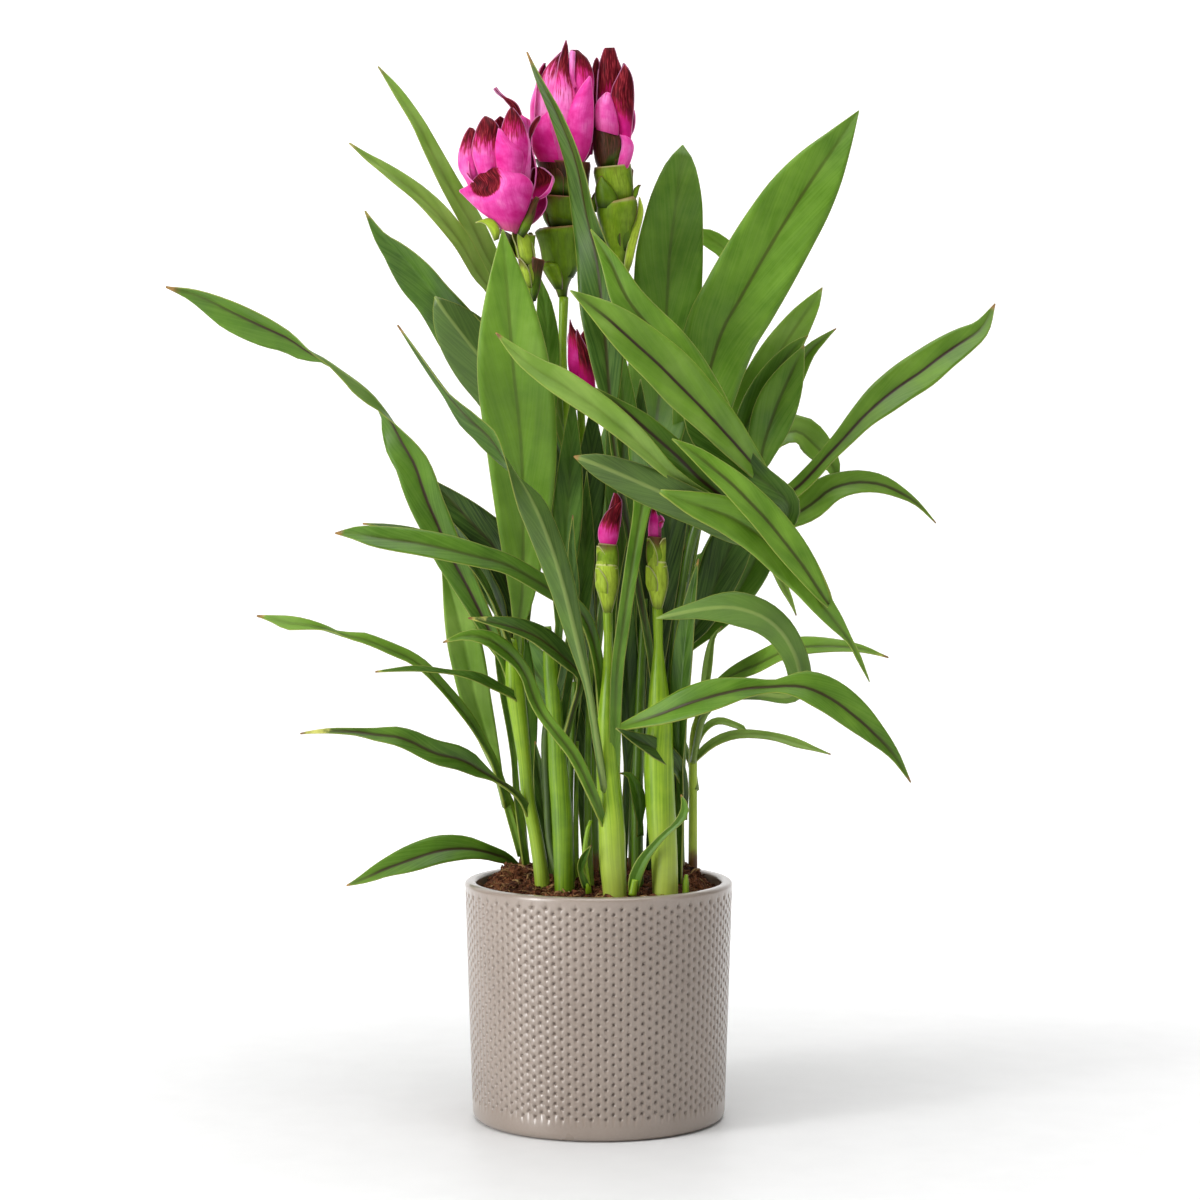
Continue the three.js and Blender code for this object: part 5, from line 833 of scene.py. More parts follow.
# Materials
class Shader:
    """Short way to write a node material."""

    def __init__(self, name, **uniform):
        self.material = bpy.data.materials.new(name)
        self.material.use_nodes = True
        self.tree = self.material.node_tree
        self.principled = self.tree.nodes["Principled BSDF"]
        for key, value in uniform.items():
            self.principled.inputs[key.replace("_", " ")].default_value = value

    def add(self, kind, inputs=None, **settings):
        node = self.tree.nodes.new(kind)
        for key, value in settings.items():
            setattr(node, key, value)
        for key, value in (inputs or {}).items():
            self.join(value, node.inputs[key])
        return node

    def join(self, value, target):
        if isinstance(value, bpy.types.NodeSocket):
            self.tree.links.new(value, target)
        else:
            target.default_value = value

    def attribute(self, name):
        node = self.add("ShaderNodeAttribute", attribute_name=name)
        parts = self.add("ShaderNodeSeparateColor", {0: node.outputs["Color"]})
        return [*parts.outputs, node.outputs["Alpha"]]

    def math(self, operation, *values):
        node = self.add("ShaderNodeMath", dict(enumerate(values)), operation=operation)
        return node.outputs[0]

    def times(self, a, b):
        return self.math("MULTIPLY", a, b)

    def plus(self, a, b):
        return self.math("ADD", a, b)

    def minus(self, a, b):
        return self.math("SUBTRACT", a, b)

    def sway(self, value, noise, amount):
        """The value, moved up and down by a noise about its middle."""
        return self.plus(value, self.times(self.minus(noise, 0.5), amount))

    def ramp(self, value, *stops):
        node = self.add("ShaderNodeValToRGB", {0: value})
        elements = node.color_ramp.elements
        while len(elements) < len(stops):
            elements.new(0.5)
        for element, (position, colour) in zip(elements, stops):
            element.position = position
            element.color = (*colour, 1)
        return node.outputs[0]

    def map(self, value, low, high, to_low=0.0, to_high=1.0):
        inputs = {0: value, 1: low, 2: high, 3: to_low, 4: to_high}
        node = self.add("ShaderNodeMapRange", inputs, interpolation_type="SMOOTHSTEP")
        return node.outputs[0]

    def mix(self, factor, a, b):
        node = self.add("ShaderNodeMix", {0: factor}, data_type="RGBA")
        for value, target in ((a, node.inputs[6]), (b, node.inputs[7])):
            self.join(value if isinstance(value, bpy.types.NodeSocket) else (*value, 1), target)
        return node.outputs[2]

    def vector(self, x, y, z):
        return self.add("ShaderNodeCombineXYZ", {0: x, 1: y, 2: z}).outputs[0]

    def noise(self, vector, scale, detail=3.0, roughness=0.55):
        inputs = {"Vector": vector, "Scale": scale, "Detail": detail, "Roughness": roughness}
        return self.add("ShaderNodeTexNoise", inputs).outputs[0]

    def position(self):
        return self.add("ShaderNodeTexCoord").outputs["Object"]

    def uv(self):
        node = self.add("ShaderNodeUVMap", uv_map="surface")
        return self.add("ShaderNodeSeparateXYZ", {0: node.outputs[0]}).outputs

    def finish(self, colour, roughness=None, height=None, strength=0.3, distance=0.0005):
        self.join(colour, self.principled.inputs["Base Color"])
        if roughness is not None:
            self.join(roughness, self.principled.inputs["Roughness"])
        if height is not None:
            bump = self.add("ShaderNodeBump", {"Strength": strength, "Distance": distance})
            self.tree.links.new(height, bump.inputs["Height"])
            self.tree.links.new(bump.outputs[0], self.principled.inputs["Normal"])
        return self.material


def colour(red, green, blue):
    """Linear colour of display values from 0 to 255."""
    return tuple(
        c / 255 / 12.92 if c / 255 <= 0.04045 else ((c / 255 + 0.055) / 1.055) ** 2.4
        for c in (red, green, blue)
    )


def make_leaf_material():
    s = Shader("leaf_blade", Specular_IOR_Level=0.28)
    rib, margin, along, under = s.attribute("blade")
    tone, stripe, tip, seed = s.attribute("look")
    x, y, _ = s.uv()
    across = s.math("ABSOLUTE", x)
    slant = s.times(s.minus(across, s.times(y, 0.2)), 100.0)
    veins = s.noise(s.vector(slant, s.times(y, 3.0), s.times(seed, 40.0)), 1.3, 2.0)
    patches = s.noise(s.vector(x, y, seed), 5.0, 4.0)
    # Painted light and shade: the leaf's tone picks a lighter green for lit leaves and a darker one
    # for shaded ones
    tint = s.sway(s.times(tone, 0.5), patches, 0.4)
    green = s.ramp(
        tint,
        (0.15, colour(24, 46, 6)),
        (0.35, colour(50, 84, 12)),
        (0.5, colour(78, 118, 20)),
        (0.65, colour(106, 146, 38)),
        (0.85, colour(140, 172, 76)),
    )
    fine = s.map(veins, 0.38, 0.62, 0.0, 1.0)
    green = s.mix(s.times(fine, 0.2), green, colour(122, 156, 66))
    bands = s.noise(s.vector(s.times(slant, 0.16), s.times(y, 1.2), seed), 1.4, 2.0)
    green = s.mix(s.map(bands, 0.3, 0.75, 0.0, 0.3), green, colour(58, 92, 18))
    broken = s.noise(s.vector(s.times(x, 60.0), s.times(y, 6.0), seed), 2.0, 3.0)
    reach = s.map(s.sway(rib, broken, 0.03), 0.018, 0.062, 1.0, 0.0)
    ends = s.times(s.map(along, 0.02, 0.2), s.map(along, 0.8, 1.0, 1.0, 0.0))
    band = s.times(s.times(reach, ends), s.times(stripe, 0.95))
    bleed = s.times(s.map(rib, 0.0, 0.16, 1.0, 0.0), s.times(stripe, 0.3))
    face = s.mix(bleed, green, colour(62, 70, 14))
    face = s.mix(band, face, colour(46, 20, 12))
    dull = s.mix(0.3, green, colour(112, 134, 76))
    ribline = s.map(rib, 0.012, 0.05, 1.0, 0.0)
    dull = s.mix(s.times(ribline, 0.45), dull, colour(150, 168, 92))
    body = s.mix(under, face, dull)
    edge = s.map(margin, 0.004, 0.02, 0.45, 0.0)
    body = s.mix(edge, body, colour(170, 170, 76))
    spots = s.noise(s.position(), 260.0, 4.0)
    scorch = s.minus(s.plus(along, s.times(spots, 0.16)), s.minus(1.1, s.times(tip, 0.16)))
    scorch = s.times(s.map(scorch, 0.0, 0.05), s.map(tip, 0.0, 0.15))
    dry = s.ramp(spots, (0.35, colour(150, 150, 62)), (0.65, colour(188, 188, 96)))
    body = s.mix(scorch, body, dry)
    burnt = s.times(s.map(along, 0.972, 0.99), s.map(tip, 0.0, 0.1))
    brown = s.ramp(spots, (0.35, colour(104, 72, 34)), (0.65, colour(160, 126, 66)))
    body = s.mix(burnt, body, brown)
    roughness = s.map(patches, 0.3, 0.7, 0.34, 0.52)
    return s.finish(body, roughness, veins, 0.05, 0.0003)


def make_stem_material():
    s = Shader("stem_sheath", Specular_IOR_Level=0.4)
    tone, brown, maroon, pale = s.attribute("look")
    x, y, _ = s.uv()
    streaks = s.noise(s.vector(s.times(x, 34.0), s.times(y, 1.2), tone), 1.6, 3.0)
    patches = s.noise(s.position(), 90.0, 3.0)
    # Partly painted shade: a low tone darkens the green of stems that stand in shade
    tint = s.sway(s.times(tone, 0.5), streaks, 0.45)
    tint = s.sway(tint, patches, 0.2)
    green = s.ramp(
        tint,
        (0.15, colour(40, 66, 8)),
        (0.4, colour(96, 134, 16)),
        (0.55, colour(138, 172, 30)),
        (0.8, colour(186, 206, 66)),
    )
    edge = s.plus(s.map(x, 0.0, 0.04, 1.0, 0.0), s.map(x, 0.95, 1.0))
    green = s.mix(s.times(edge, 0.45), green, colour(196, 200, 110))
    shade = s.times(s.map(x, 0.02, 0.16, 1.0, 0.0), s.map(x, 0.0, 0.03))
    green = s.mix(s.times(shade, 0.45), green, colour(58, 88, 10))
    green = s.mix(pale, green, colour(196, 206, 96))
    mask = s.map(s.sway(brown, patches, 0.8), 0.3, 0.75)
    husk = s.ramp(streaks, (0.3, colour(70, 42, 18)), (0.7, colour(140, 100, 52)))
    green = s.mix(mask, green, husk)
    mask = s.times(maroon, s.map(streaks, 0.3, 0.7, 0.5, 1.0))
    green = s.mix(mask, green, colour(88, 44, 36))
    roughness = s.map(patches, 0.3, 0.7, 0.32, 0.46)
    return s.finish(green, roughness, streaks, 0.15, 0.0003)


def make_pink_material():
    s = Shader("pink_petal", Specular_IOR_Level=0.06)
    _, margin, along, _ = s.attribute("blade")
    tone, dark, base, seed = s.attribute("look")
    x, y, _ = s.uv()
    veins = s.noise(s.vector(s.times(x, 60.0), s.times(y, 6.0), s.times(seed, 30.0)), 2.6, 3.0)
    patches = s.noise(s.vector(x, y, s.times(seed, 9.0)), 12.0, 3.0)
    # Partly painted light and shade: the bract's tone makes its pink lighter where it stands in
    # light and deeper where it is shaded
    tint = s.sway(s.times(tone, 0.5), patches, 0.85)
    pink = s.ramp(
        tint,
        (0.1, colour(160, 6, 84)),
        (0.35, colour(200, 34, 128)),
        (0.55, colour(222, 78, 164)),
        (0.85, colour(238, 144, 206)),
    )
    pink = s.mix(s.map(veins, 0.4, 0.64, 0.0, 0.35), pink, colour(200, 40, 130))
    stain = s.sway(along, veins, 0.5)
    stain = s.sway(stain, patches, 0.3)
    stain = s.plus(stain, s.times(s.minus(dark, 1.0), 0.5))
    maroon = s.ramp(
        veins,
        (0.32, colour(46, 6, 12)),
        (0.52, colour(92, 14, 26)),
        (0.7, colour(150, 44, 54)),
    )
    pink = s.mix(s.map(stain, 0.6, 0.8, 0.0, 0.9), pink, colour(168, 16, 58))
    pink = s.mix(s.map(stain, 0.68, 0.86), pink, maroon)
    # Deeper magenta towards the foot: partly the bract's own colour, partly painted shade at the
    # bases
    low = s.map(along, 0.0, 0.5, 0.6, 0.0)
    pink = s.mix(low, pink, colour(190, 14, 112))
    # Lighter margin: partly the bract's paler edge, partly painted highlight
    rim = s.map(margin, 0.0, 0.03, 0.5, 0.0)
    pink = s.mix(rim, pink, colour(246, 160, 212))
    foot = s.times(s.map(along, 0.0, 0.22, 1.0, 0.0), base)
    pink = s.mix(foot, pink, colour(128, 128, 66))
    return s.finish(pink, s.map(patches, 0.3, 0.7, 0.42, 0.6), veins, 0.25, 0.0003)


def make_green_bract_material():
    s = Shader("olive_bract", Specular_IOR_Level=0.2)
    across, margin, along, _ = s.attribute("blade")
    tone, dark, _, seed = s.attribute("look")
    x, y, _ = s.uv()
    veins = s.noise(s.vector(s.times(x, 60.0), s.times(y, 8.0), s.times(seed, 30.0)), 2.2, 3.0)
    patches = s.noise(s.position(), 160.0, 4.0)
    # Partly painted light and shade: the bract's tone makes its green lighter or darker for how it
    # is lit
    tint = s.sway(s.times(tone, 0.5), patches, 0.3)
    green = s.ramp(
        tint,
        (0.15, colour(26, 42, 2)),
        (0.4, colour(68, 98, 4)),
        (0.6, colour(110, 144, 14)),
        (0.85, colour(172, 196, 58)),
    )
    green = s.mix(s.map(veins, 0.42, 0.68, 0.0, 0.35), green, colour(70, 84, 12))
    # Painted shade: darker green towards the sides of the bract
    green = s.mix(s.map(across, 0.6, 1.0, 0.0, 0.6), green, colour(34, 52, 4))
    # Painted shade: darker green at the foot, where the bract is tucked into the one below
    green = s.mix(s.map(along, 0.0, 0.3, 0.75, 0.0), green, colour(24, 38, 4))
    stain = s.sway(along, patches, 0.5)
    stain = s.map(s.plus(stain, s.minus(dark, 1.0)), 0.75, 1.1)
    green = s.mix(
        s.times(stain, 0.85),
        green,
        s.ramp(veins, (0.35, colour(42, 12, 8)), (0.65, colour(98, 42, 40))),
    )
    # The lip is brown on darker bracts, their own rim colour, and cream on lighter ones, which is
    # painted highlight
    rim = s.ramp(s.times(tone, 0.5), (0.6, colour(132, 78, 58)), (0.72, colour(214, 212, 150)))
    lip = s.math("MAXIMUM", s.map(margin, 0.0, 0.035, 0.6, 0.0), s.map(along, 0.95, 0.99, 0.0, 0.7))
    green = s.mix(lip, green, rim)
    return s.finish(green, s.map(veins, 0.3, 0.7, 0.34, 0.52), veins, 0.4, 0.0004)


def make_core_material():
    s = Shader("bract_core")
    grain = s.noise(s.position(), 300.0, 4.0)
    body = s.ramp(grain, (0.3, colour(120, 30, 70)), (0.7, colour(190, 60, 130)))
    return s.finish(body, None, grain, 0.3)


def make_glaze_material():
    s = Shader("pot_glaze", Specular_IOR_Level=0.6, Coat_Weight=0.6, Coat_Roughness=0.12)
    pit = s.attribute("pit")[0]
    clouds = s.noise(s.position(), 18.0, 4.0)
    grain = s.noise(s.position(), 700.0, 3.0)
    tint = s.plus(s.times(clouds, 0.7), s.times(grain, 0.3))
    body = s.ramp(tint, (0.35, colour(140, 126, 115)), (0.65, colour(152, 138, 127)))
    # Painted shade: the glaze colour darkens towards the bottom of each pit
    body = s.mix(s.map(pit, 0.5, 1.0, 0.0, 0.6), body, colour(84, 66, 54))
    return s.finish(body, s.map(clouds, 0.3, 0.7, 0.27, 0.36), grain, 0.1, 0.0002)


def make_soil_material():
    s = Shader("coir", Specular_IOR_Level=0.2)
    fine = s.noise(s.position(), 420.0, 6.0, 0.65)
    wide = s.noise(s.position(), 60.0, 4.0)
    tint = s.plus(s.times(fine, 0.65), s.times(wide, 0.35))
    body = s.ramp(
        tint,
        (0.36, colour(34, 18, 12)),
        (0.48, colour(84, 48, 30)),
        (0.56, colour(122, 74, 46)),
        (0.7, colour(168, 116, 76)),
    )
    return s.finish(body, s.map(fine, 0.3, 0.7, 0.95, 0.75), fine, 0.8, 0.0012)


def make_fibre_material():
    s = Shader("fibre", Specular_IOR_Level=0.25)
    grain = s.noise(s.position(), 240.0, 4.0)
    body = s.ramp(
        grain,
        (0.35, colour(104, 72, 40)),
        (0.6, colour(160, 124, 78)),
        (0.75, colour(206, 180, 132)),
    )
    return s.finish(body, s.map(grain, 0.3, 0.7, 0.6, 0.8), grain, 0.3)


leaf_material = make_leaf_material()
stem_material = make_stem_material()
pink_material = make_pink_material()
green_bract_material = make_green_bract_material()
bract_core_material = make_core_material()
glaze_material = make_glaze_material()
soil_material = make_soil_material()
fibre_material = make_fibre_material()


# Meshes
def add_object(name, data):
    thing = bpy.data.objects.new(name, data)
    bpy.context.scene.collection.objects.link(thing)
    return thing


def make_object(name, points, faces, material, node, channels=None, uvs=None, smooth=True):
    mesh = bpy.data.meshes.new(name)
    mesh.from_pydata((np.asarray(points) * MM).tolist(), [], [list(map(int, f)) for f in faces])
    for channel, values in (channels or {}).items():
        attribute = mesh.attributes.new(channel, "FLOAT_COLOR", "POINT")
        attribute.data.foreach_set("color", np.asarray(values, np.float32).ravel())
    if uvs is not None:
        layer = mesh.uv_layers.new(name="surface")
        corners = np.empty(len(mesh.loops), np.int32)
        mesh.loops.foreach_get("vertex_index", corners)
        layer.data.foreach_set("uv", np.asarray(uvs, np.float32)[corners].ravel())
    mesh.materials.append(material)
    if smooth:
        mesh.shade_smooth()
    mesh.update()
    piece = add_object(name, mesh)
    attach(piece, "root")
    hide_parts(node)
    return piece


def grid_normals(grid):
    along = np.gradient(grid, axis=0)
    across = np.gradient(grid, axis=1)
    return unit(np.cross(across, along))


def sheet_mesh(grid, thickness):
    """Points and faces of a closed thin sheet. The grid is its upper face."""
    rows, columns = grid.shape[:2]
    under = grid - grid_normals(grid) * np.broadcast_to(thickness, grid.shape[:2])[..., None]
    points = np.concatenate([grid.reshape(-1, 3), under.reshape(-1, 3)])
    index = np.arange(rows * columns).reshape(rows, columns)
    half = rows * columns
    a, b, c, d = index[:-1, :-1], index[:-1, 1:], index[1:, 1:], index[1:, :-1]
    upper = np.stack([a, b, c, d], -1).reshape(-1, 4)
    lower = np.stack([a, d, c, b], -1).reshape(-1, 4) + half
    rim = np.concatenate([index[0], index[1:, -1], index[-1, -2::-1], index[-2:0:-1, 0]])
    after = np.roll(rim, -1)
    wall = np.stack([rim, rim + half, after + half, after], -1)
    return points, np.concatenate([upper, lower, wall])


def per_point(shape, *values):
    """Rows of the values, one row for each point of a grid of that shape."""
    values = [np.broadcast_to(value, shape) for value in values]
    return np.stack(values, -1).reshape(-1, len(values))


def make_sheet(name, node, material, grid, thickness, blade, look, surface, upper=0):
    """Piece made of a thin sheet. Its blade channel holds three values and upper, which is turned
    over on the under side. The look and the surface map are the same on both sides."""
    shape = grid.shape[:2]
    points, faces = sheet_mesh(grid, thickness)
    sides = [per_point(shape, *blade, side) for side in (upper, 1 - upper)]
    looks = np.tile(per_point(shape, *look), (2, 1))
    uvs = np.tile(per_point(shape, *surface) / MAP_SCALE, (2, 1))
    channels = {"blade": np.concatenate(sides), "look": looks}
    return make_object(name, points, faces, material, node, channels, uvs)


def ring_faces(rings, sides):
    """Faces between closed rings of points, one above the other, with a cap at either end."""
    index = np.arange(rings * sides).reshape(rings, sides)
    turned = np.roll(index, -1, axis=1)
    walls = np.stack([index[:-1], turned[:-1], turned[1:], index[1:]], -1).reshape(-1, 4)
    return walls.tolist() + [index[0][::-1].tolist(), index[-1].tolist()]


def tube_mesh(centres, radii, sides, ridge=0.0, twist=0.0):
    """Points, faces and (around, along) of a closed tube. A ridge makes the overlapping edge of
    a sheath, which winds round the tube by twist radians along its length."""
    centres = np.asarray(centres, float)
    along = unit(np.gradient(centres, axis=0))
    across = unit(np.cross([0.0, 1.0, 0.0], along))
    other = np.cross(along, across)
    rings = len(centres)
    angle = np.linspace(0, 2 * math.pi, sides, endpoint=False)
    edge = np.linspace(0, twist, rings)[:, None]
    phase = ((angle[None, :] - edge) / (2 * math.pi)) % 1.0
    radius = np.asarray(radii, float)[:, None] * (1 + ridge * (phase - 0.5))
    outward = (
        across[:, None] * np.cos(angle)[None, :, None]
        + other[:, None] * np.sin(angle)[None, :, None]
    )
    points = centres[:, None] + radius[..., None] * outward
    length = np.concatenate([[0], np.cumsum(np.linalg.norm(np.diff(centres, axis=0), axis=1))])
    uvs = np.stack(np.broadcast_arrays(phase, length[:, None] / MAP_SCALE), -1).reshape(-1, 2)
    return points.reshape(-1, 3), ring_faces(rings, sides), uvs


def half_width(leaf, u):
    """Half the width at u along a leaf without widths of its own: a stalk, then one swell."""
    s = np.clip((u - leaf.petiole) / (1 - leaf.petiole), 0, 1)
    rise = np.sin(math.pi / 2 * np.clip(s / leaf.widest, 0, 1))
    fall = np.cos(math.pi / 2 * np.clip((s - leaf.widest) / (1 - leaf.widest), 0, 1))
    swell = np.where(s < leaf.widest, rise, fall ** (1 - LEAF_BLUNT))
    least = PETIOLE_WIDTH / 2 + (LEAF_TIP - PETIOLE_WIDTH / 2) * s
    return np.where(u < leaf.petiole, PETIOLE_WIDTH / 2, np.maximum(least, leaf.width / 2 * swell))


def make_leaf(node, leaf, number):
    """Blade folded along its midrib, turned by its roll and slightly waved, with a keel below."""
    rng = np.random.default_rng(100 + number)
    spine = [place(row) for row in leaf.rows]
    rolls = np.radians([row[3] if len(row) > 3 else leaf.roll for row in leaf.rows])
    _, length = even_parameters(spine, 8)
    count = int(np.clip(length / LEAF_STEP, 16, 56))
    t, length = even_parameters(spine, count)
    rib = spline(spine, t)
    along = unit(np.gradient(rib, axis=0))
    facing = EYE - rib
    facing = unit(facing - along * np.sum(facing * along, axis=1, keepdims=True))
    aside = np.cross(along, facing)
    turn = np.interp(t, np.linspace(0, 1, len(rolls)), rolls)[:, None]
    side = aside * np.cos(turn) + facing * np.sin(turn)
    up = facing * np.cos(turn) - aside * np.sin(turn)
    u = np.linspace(0, 1, count)
    if leaf.widths:
        seen = np.maximum(spline(np.array(leaf.widths)[:, None], t)[:, 0], 0.4)
        half = seen / 2 / math.cos(math.radians(leaf.fold))
        half = half / np.maximum(np.abs(np.cos(turn[:, 0])), 0.5)
    else:
        half = half_width(leaf, u)
    v = np.linspace(-1, 1, LEAF_COLUMNS)
    v = np.sign(v) * np.abs(v) ** 1.25
    fold = math.radians(leaf.fold)
    blade = smoothstep(leaf.petiole, leaf.petiole + 0.25, u) * (1 - u**6)
    phases = rng.uniform(0, 2 * math.pi, 4)
    waves = rng.uniform(2.5, 4.5, 2)
    left = np.sin(2 * math.pi * waves[0] * u + phases[0]) + 0.5 * np.sin(15 * u + phases[1])
    right = np.sin(2 * math.pi * waves[1] * u + phases[2]) + 0.5 * np.sin(13 * u + phases[3])
    wave = np.where(v[None, :] < 0, left[:, None], right[:, None]) * (blade * half)[:, None]
    out = half[:, None] * v[None, :]
    lift = np.abs(out) * math.sin(fold) + LEAF_WAVE * wave * v[None, :] ** 2
    distance = np.abs(out)
    groove = GROOVE_DEPTH * np.exp(-((distance / GROOVE_WIDTH) ** 2)) * blade[:, None]
    grid = rib[:, None] + side[:, None] * (out * math.cos(fold))[..., None]
    grid = grid + up[:, None] * (lift - groove)[..., None]
    base = PETIOLE_THICKNESS + (LEAF_MIDDLE - PETIOLE_THICKNESS) * np.clip(u / 0.4, 0, 1)
    thin = np.maximum(base[:, None] * (1 - 0.5 * v[None, :] ** 2), LEAF_EDGE)
    keel = KEEL_DEPTH * np.exp(-(distance**2)) * (1 - u[:, None])
    margin = half[:, None] - distance
    return make_sheet(
        f"{node}_{leaf.name}_leaf",
        node,
        leaf_material,
        grid,
        thin + keel,
        (distance / CHANNEL_SCALE, margin / CHANNEL_SCALE, u[:, None]),
        (leaf.tone, leaf.stripe, leaf.tip, rng.random()),
        (out, u[:, None] * length),
    )


def make_stem(node, rooted, look, rows, number):
    """Stem along its rows. A rooted one goes on down into the soil."""
    centres = [place(row) for row in rows]
    radii = [row[3] for row in rows]
    if rooted:
        foot = centres[0].copy()
        foot[2] = ROOT_BOTTOM + 0.5
        centres = [foot] + centres
        radii = [radii[0]] + radii
    t, length = even_parameters(centres, 8)
    count = max(8, int(length / STEM_STEP))
    t, length = even_parameters(centres, count)
    radius = np.interp(t, np.linspace(0, 1, len(radii)), radii)
    points, faces, uvs = tube_mesh(
        spline(centres, t),
        radius,
        STEM_SIDES,
        ridge=SHEATH_RIDGE if max(radii) > SHEATH_RADIUS else STEM_RIDGE,
        twist=(1 if number % 2 else -1) * length / SHEATH_TWIST,
    )
    tone, brown_height, maroon, pale = look
    ones = np.ones(len(points))
    height = points[:, 2] - SOIL_LEVEL
    brown = np.clip(1 - height / brown_height, 0, 1) if brown_height else 0 * ones
    white = pale * np.clip(1 - height / PALE_HEIGHT, 0, 1)
    looks = np.stack([tone * ones, brown, maroon * ones, white], -1)
    return make_object(
        f"{node}_stem_{number}", points, faces, stem_material, node, {"look": looks}, uvs
    )


# Flower heads
def axis_point(axis, z):
    """Point of an axis, drawn as rows, at the height z."""
    k = 0
    while k < len(axis) - 2 and z > axis[k + 1][1]:
        k += 1
    a, b = np.array(axis[k], float), np.array(axis[k + 1], float)
    return place(a + (b - a) * (z - a[1]) / (b[1] - a[1]))


def make_bract(name, node, axis, root, row, material, look, cup=False, curl=0.0, number=0):
    """Cupped bract: its turn about the axis, the height of its base, its rise, how far its belly
    and tip stand off the axis, and its width."""
    rng = np.random.default_rng(500 + number)
    turn, base, rise, belly, tip, width = row
    steps, columns = 18, 13
    u = np.linspace(0, 1, steps)
    v = np.linspace(-1, 1, columns)
    flare = np.where(u < 0.5, np.sin(math.pi * u), 1)
    close = np.maximum(0, 2 * u - 1) ** 1.6
    reach = root + (belly - root) * flare + (tip - belly) * close
    low, high, power = (0.22, 0.76, 0.55) if cup else (0.04, 0.955, 0.75)
    half = np.maximum(0.25, width / 2 * np.sin(math.pi * (low + high * u)) ** power)
    spread = np.minimum(half / reach, BRACT_SPREAD)
    angle = math.radians(turn) + spread[:, None] * v[None, :]
    wave = 0.25 * np.sin(9 * u[:, None] + rng.uniform(0, 6) + 2 * v[None, :])
    wave = wave * np.abs(v[None, :]) ** 2
    edge = curl * np.abs(v[None, :]) ** 3 * smoothstep(0.45, 1, u)[:, None]
    radius = reach[:, None] + wave + edge
    centres = np.array([axis_point(axis, base + rise * k) for k in u])
    outward = np.stack([np.cos(angle), np.sin(angle), 0 * angle], -1)
    grid = centres[:, None] + outward * radius[..., None]
    grid = grid[:, ::-1]
    margin = half[:, None] * (1 - np.abs(v[None, :]))
    return make_sheet(
        name,
        node,
        material,
        grid,
        BRACT_THICKNESS,
        (np.abs(v)[None, :], margin / CHANNEL_SCALE, u[:, None]),
        (*look, rng.random()),
        (half[:, None] * v[None, :], u[:, None] * rise),
        upper=1,
    )


def make_petal(node, petal, number):
    """Bract between its two edges, seen from the eye, with a fine ripple over it."""
    rng = np.random.default_rng(700 + number)
    rows = np.array(petal.rows, float)
    steps, columns = (48, 33) if petal.hollow else (26, 17)
    middle = (rows[:, :2] + rows[:, 2:]) / 2
    t, length = even_parameters(np.insert(middle, 1, 0.0, axis=1), steps)
    edge = spline(rows, t)
    u = np.linspace(0, 1, steps)[:, None]
    v = np.sin(np.linspace(-math.pi / 2, math.pi / 2, columns))[None, :]
    left, right = edge[:, None, :2], edge[:, None, 2:]
    flat = left + (right - left) * ((v + 1) / 2)[..., None]
    width = np.linalg.norm(edge[:, 2:] - edge[:, :2], axis=1)[:, None]
    round_out = petal.bulge * (width / width.max()) ** 0.8 * np.sqrt(np.maximum(0, 1 - v**2))
    depth = petal.depth + (petal.lean * u) - round_out + petal.curl * np.abs(v) ** 4
    ripple = 0.1 * np.sin(v * 19 + rng.uniform(0, 6) + 2 * np.sin(3 * u)) * (1 - v**2)
    depth = depth + ripple + 0.25 * np.sin(7 * u + rng.uniform(0, 6)) * v**2
    x, z = flat[..., 0], flat[..., 1]
    dark_left, dark_right = petal.dark if isinstance(petal.dark, tuple) else (petal.dark,) * 2
    dark = dark_left + (dark_right - dark_left) * (v + 1) / 2 + 0 * u
    if petal.hollow:
        cx, cz, rx, rz, drop = petal.hollow
        spot = np.clip(1.2 - np.sqrt(((x - cx) / rx) ** 2 + ((z - cz) / rz) ** 2), 0, 1)
        depth = depth + drop * smoothstep(0, 1, spot)
        dark = dark + 2.0 * smoothstep(0.0, 0.9, spot)
    spread = 1 + depth / EYE_DISTANCE
    grid = np.stack([x * spread, depth, EYE_HEIGHT + (z - EYE_HEIGHT) * spread], -1)
    margin = width / 2 * (1 - np.abs(v))
    return make_sheet(
        f"{node}_petal_{petal.name}",
        node,
        pink_material if node.startswith("coma_") else green_bract_material,
        grid,
        BRACT_THICKNESS,
        (np.abs(v), margin / CHANNEL_SCALE, u),
        (petal.tone, dark, petal.foot, rng.random()),
        (width / 2 * v, u * length),
    )


def make_core(name, node, axis, rows, material):
    z = [row[0] for row in rows]
    levels = np.linspace(z[0], z[-1], 14)
    centres = [axis_point(axis, level) for level in levels]
    radii = np.interp(levels, z, [row[1] for row in rows])
    points, faces, uvs = tube_mesh(centres, radii, 16)
    return make_object(name, points, faces, material, node, None, uvs)


def make_coma(letter, head):
    node = f"coma_{letter}"
    make_core(f"{node}_core", node, head.axis, head.core, bract_core_material)
    for k, (row, look) in enumerate(head.coma):
        make_bract(
            f"{node}_bract_{k}",
            node,
            head.axis,
            head.root,
            row,
            pink_material,
            look,
            curl=BRACT_CURL,
            number=k,
        )


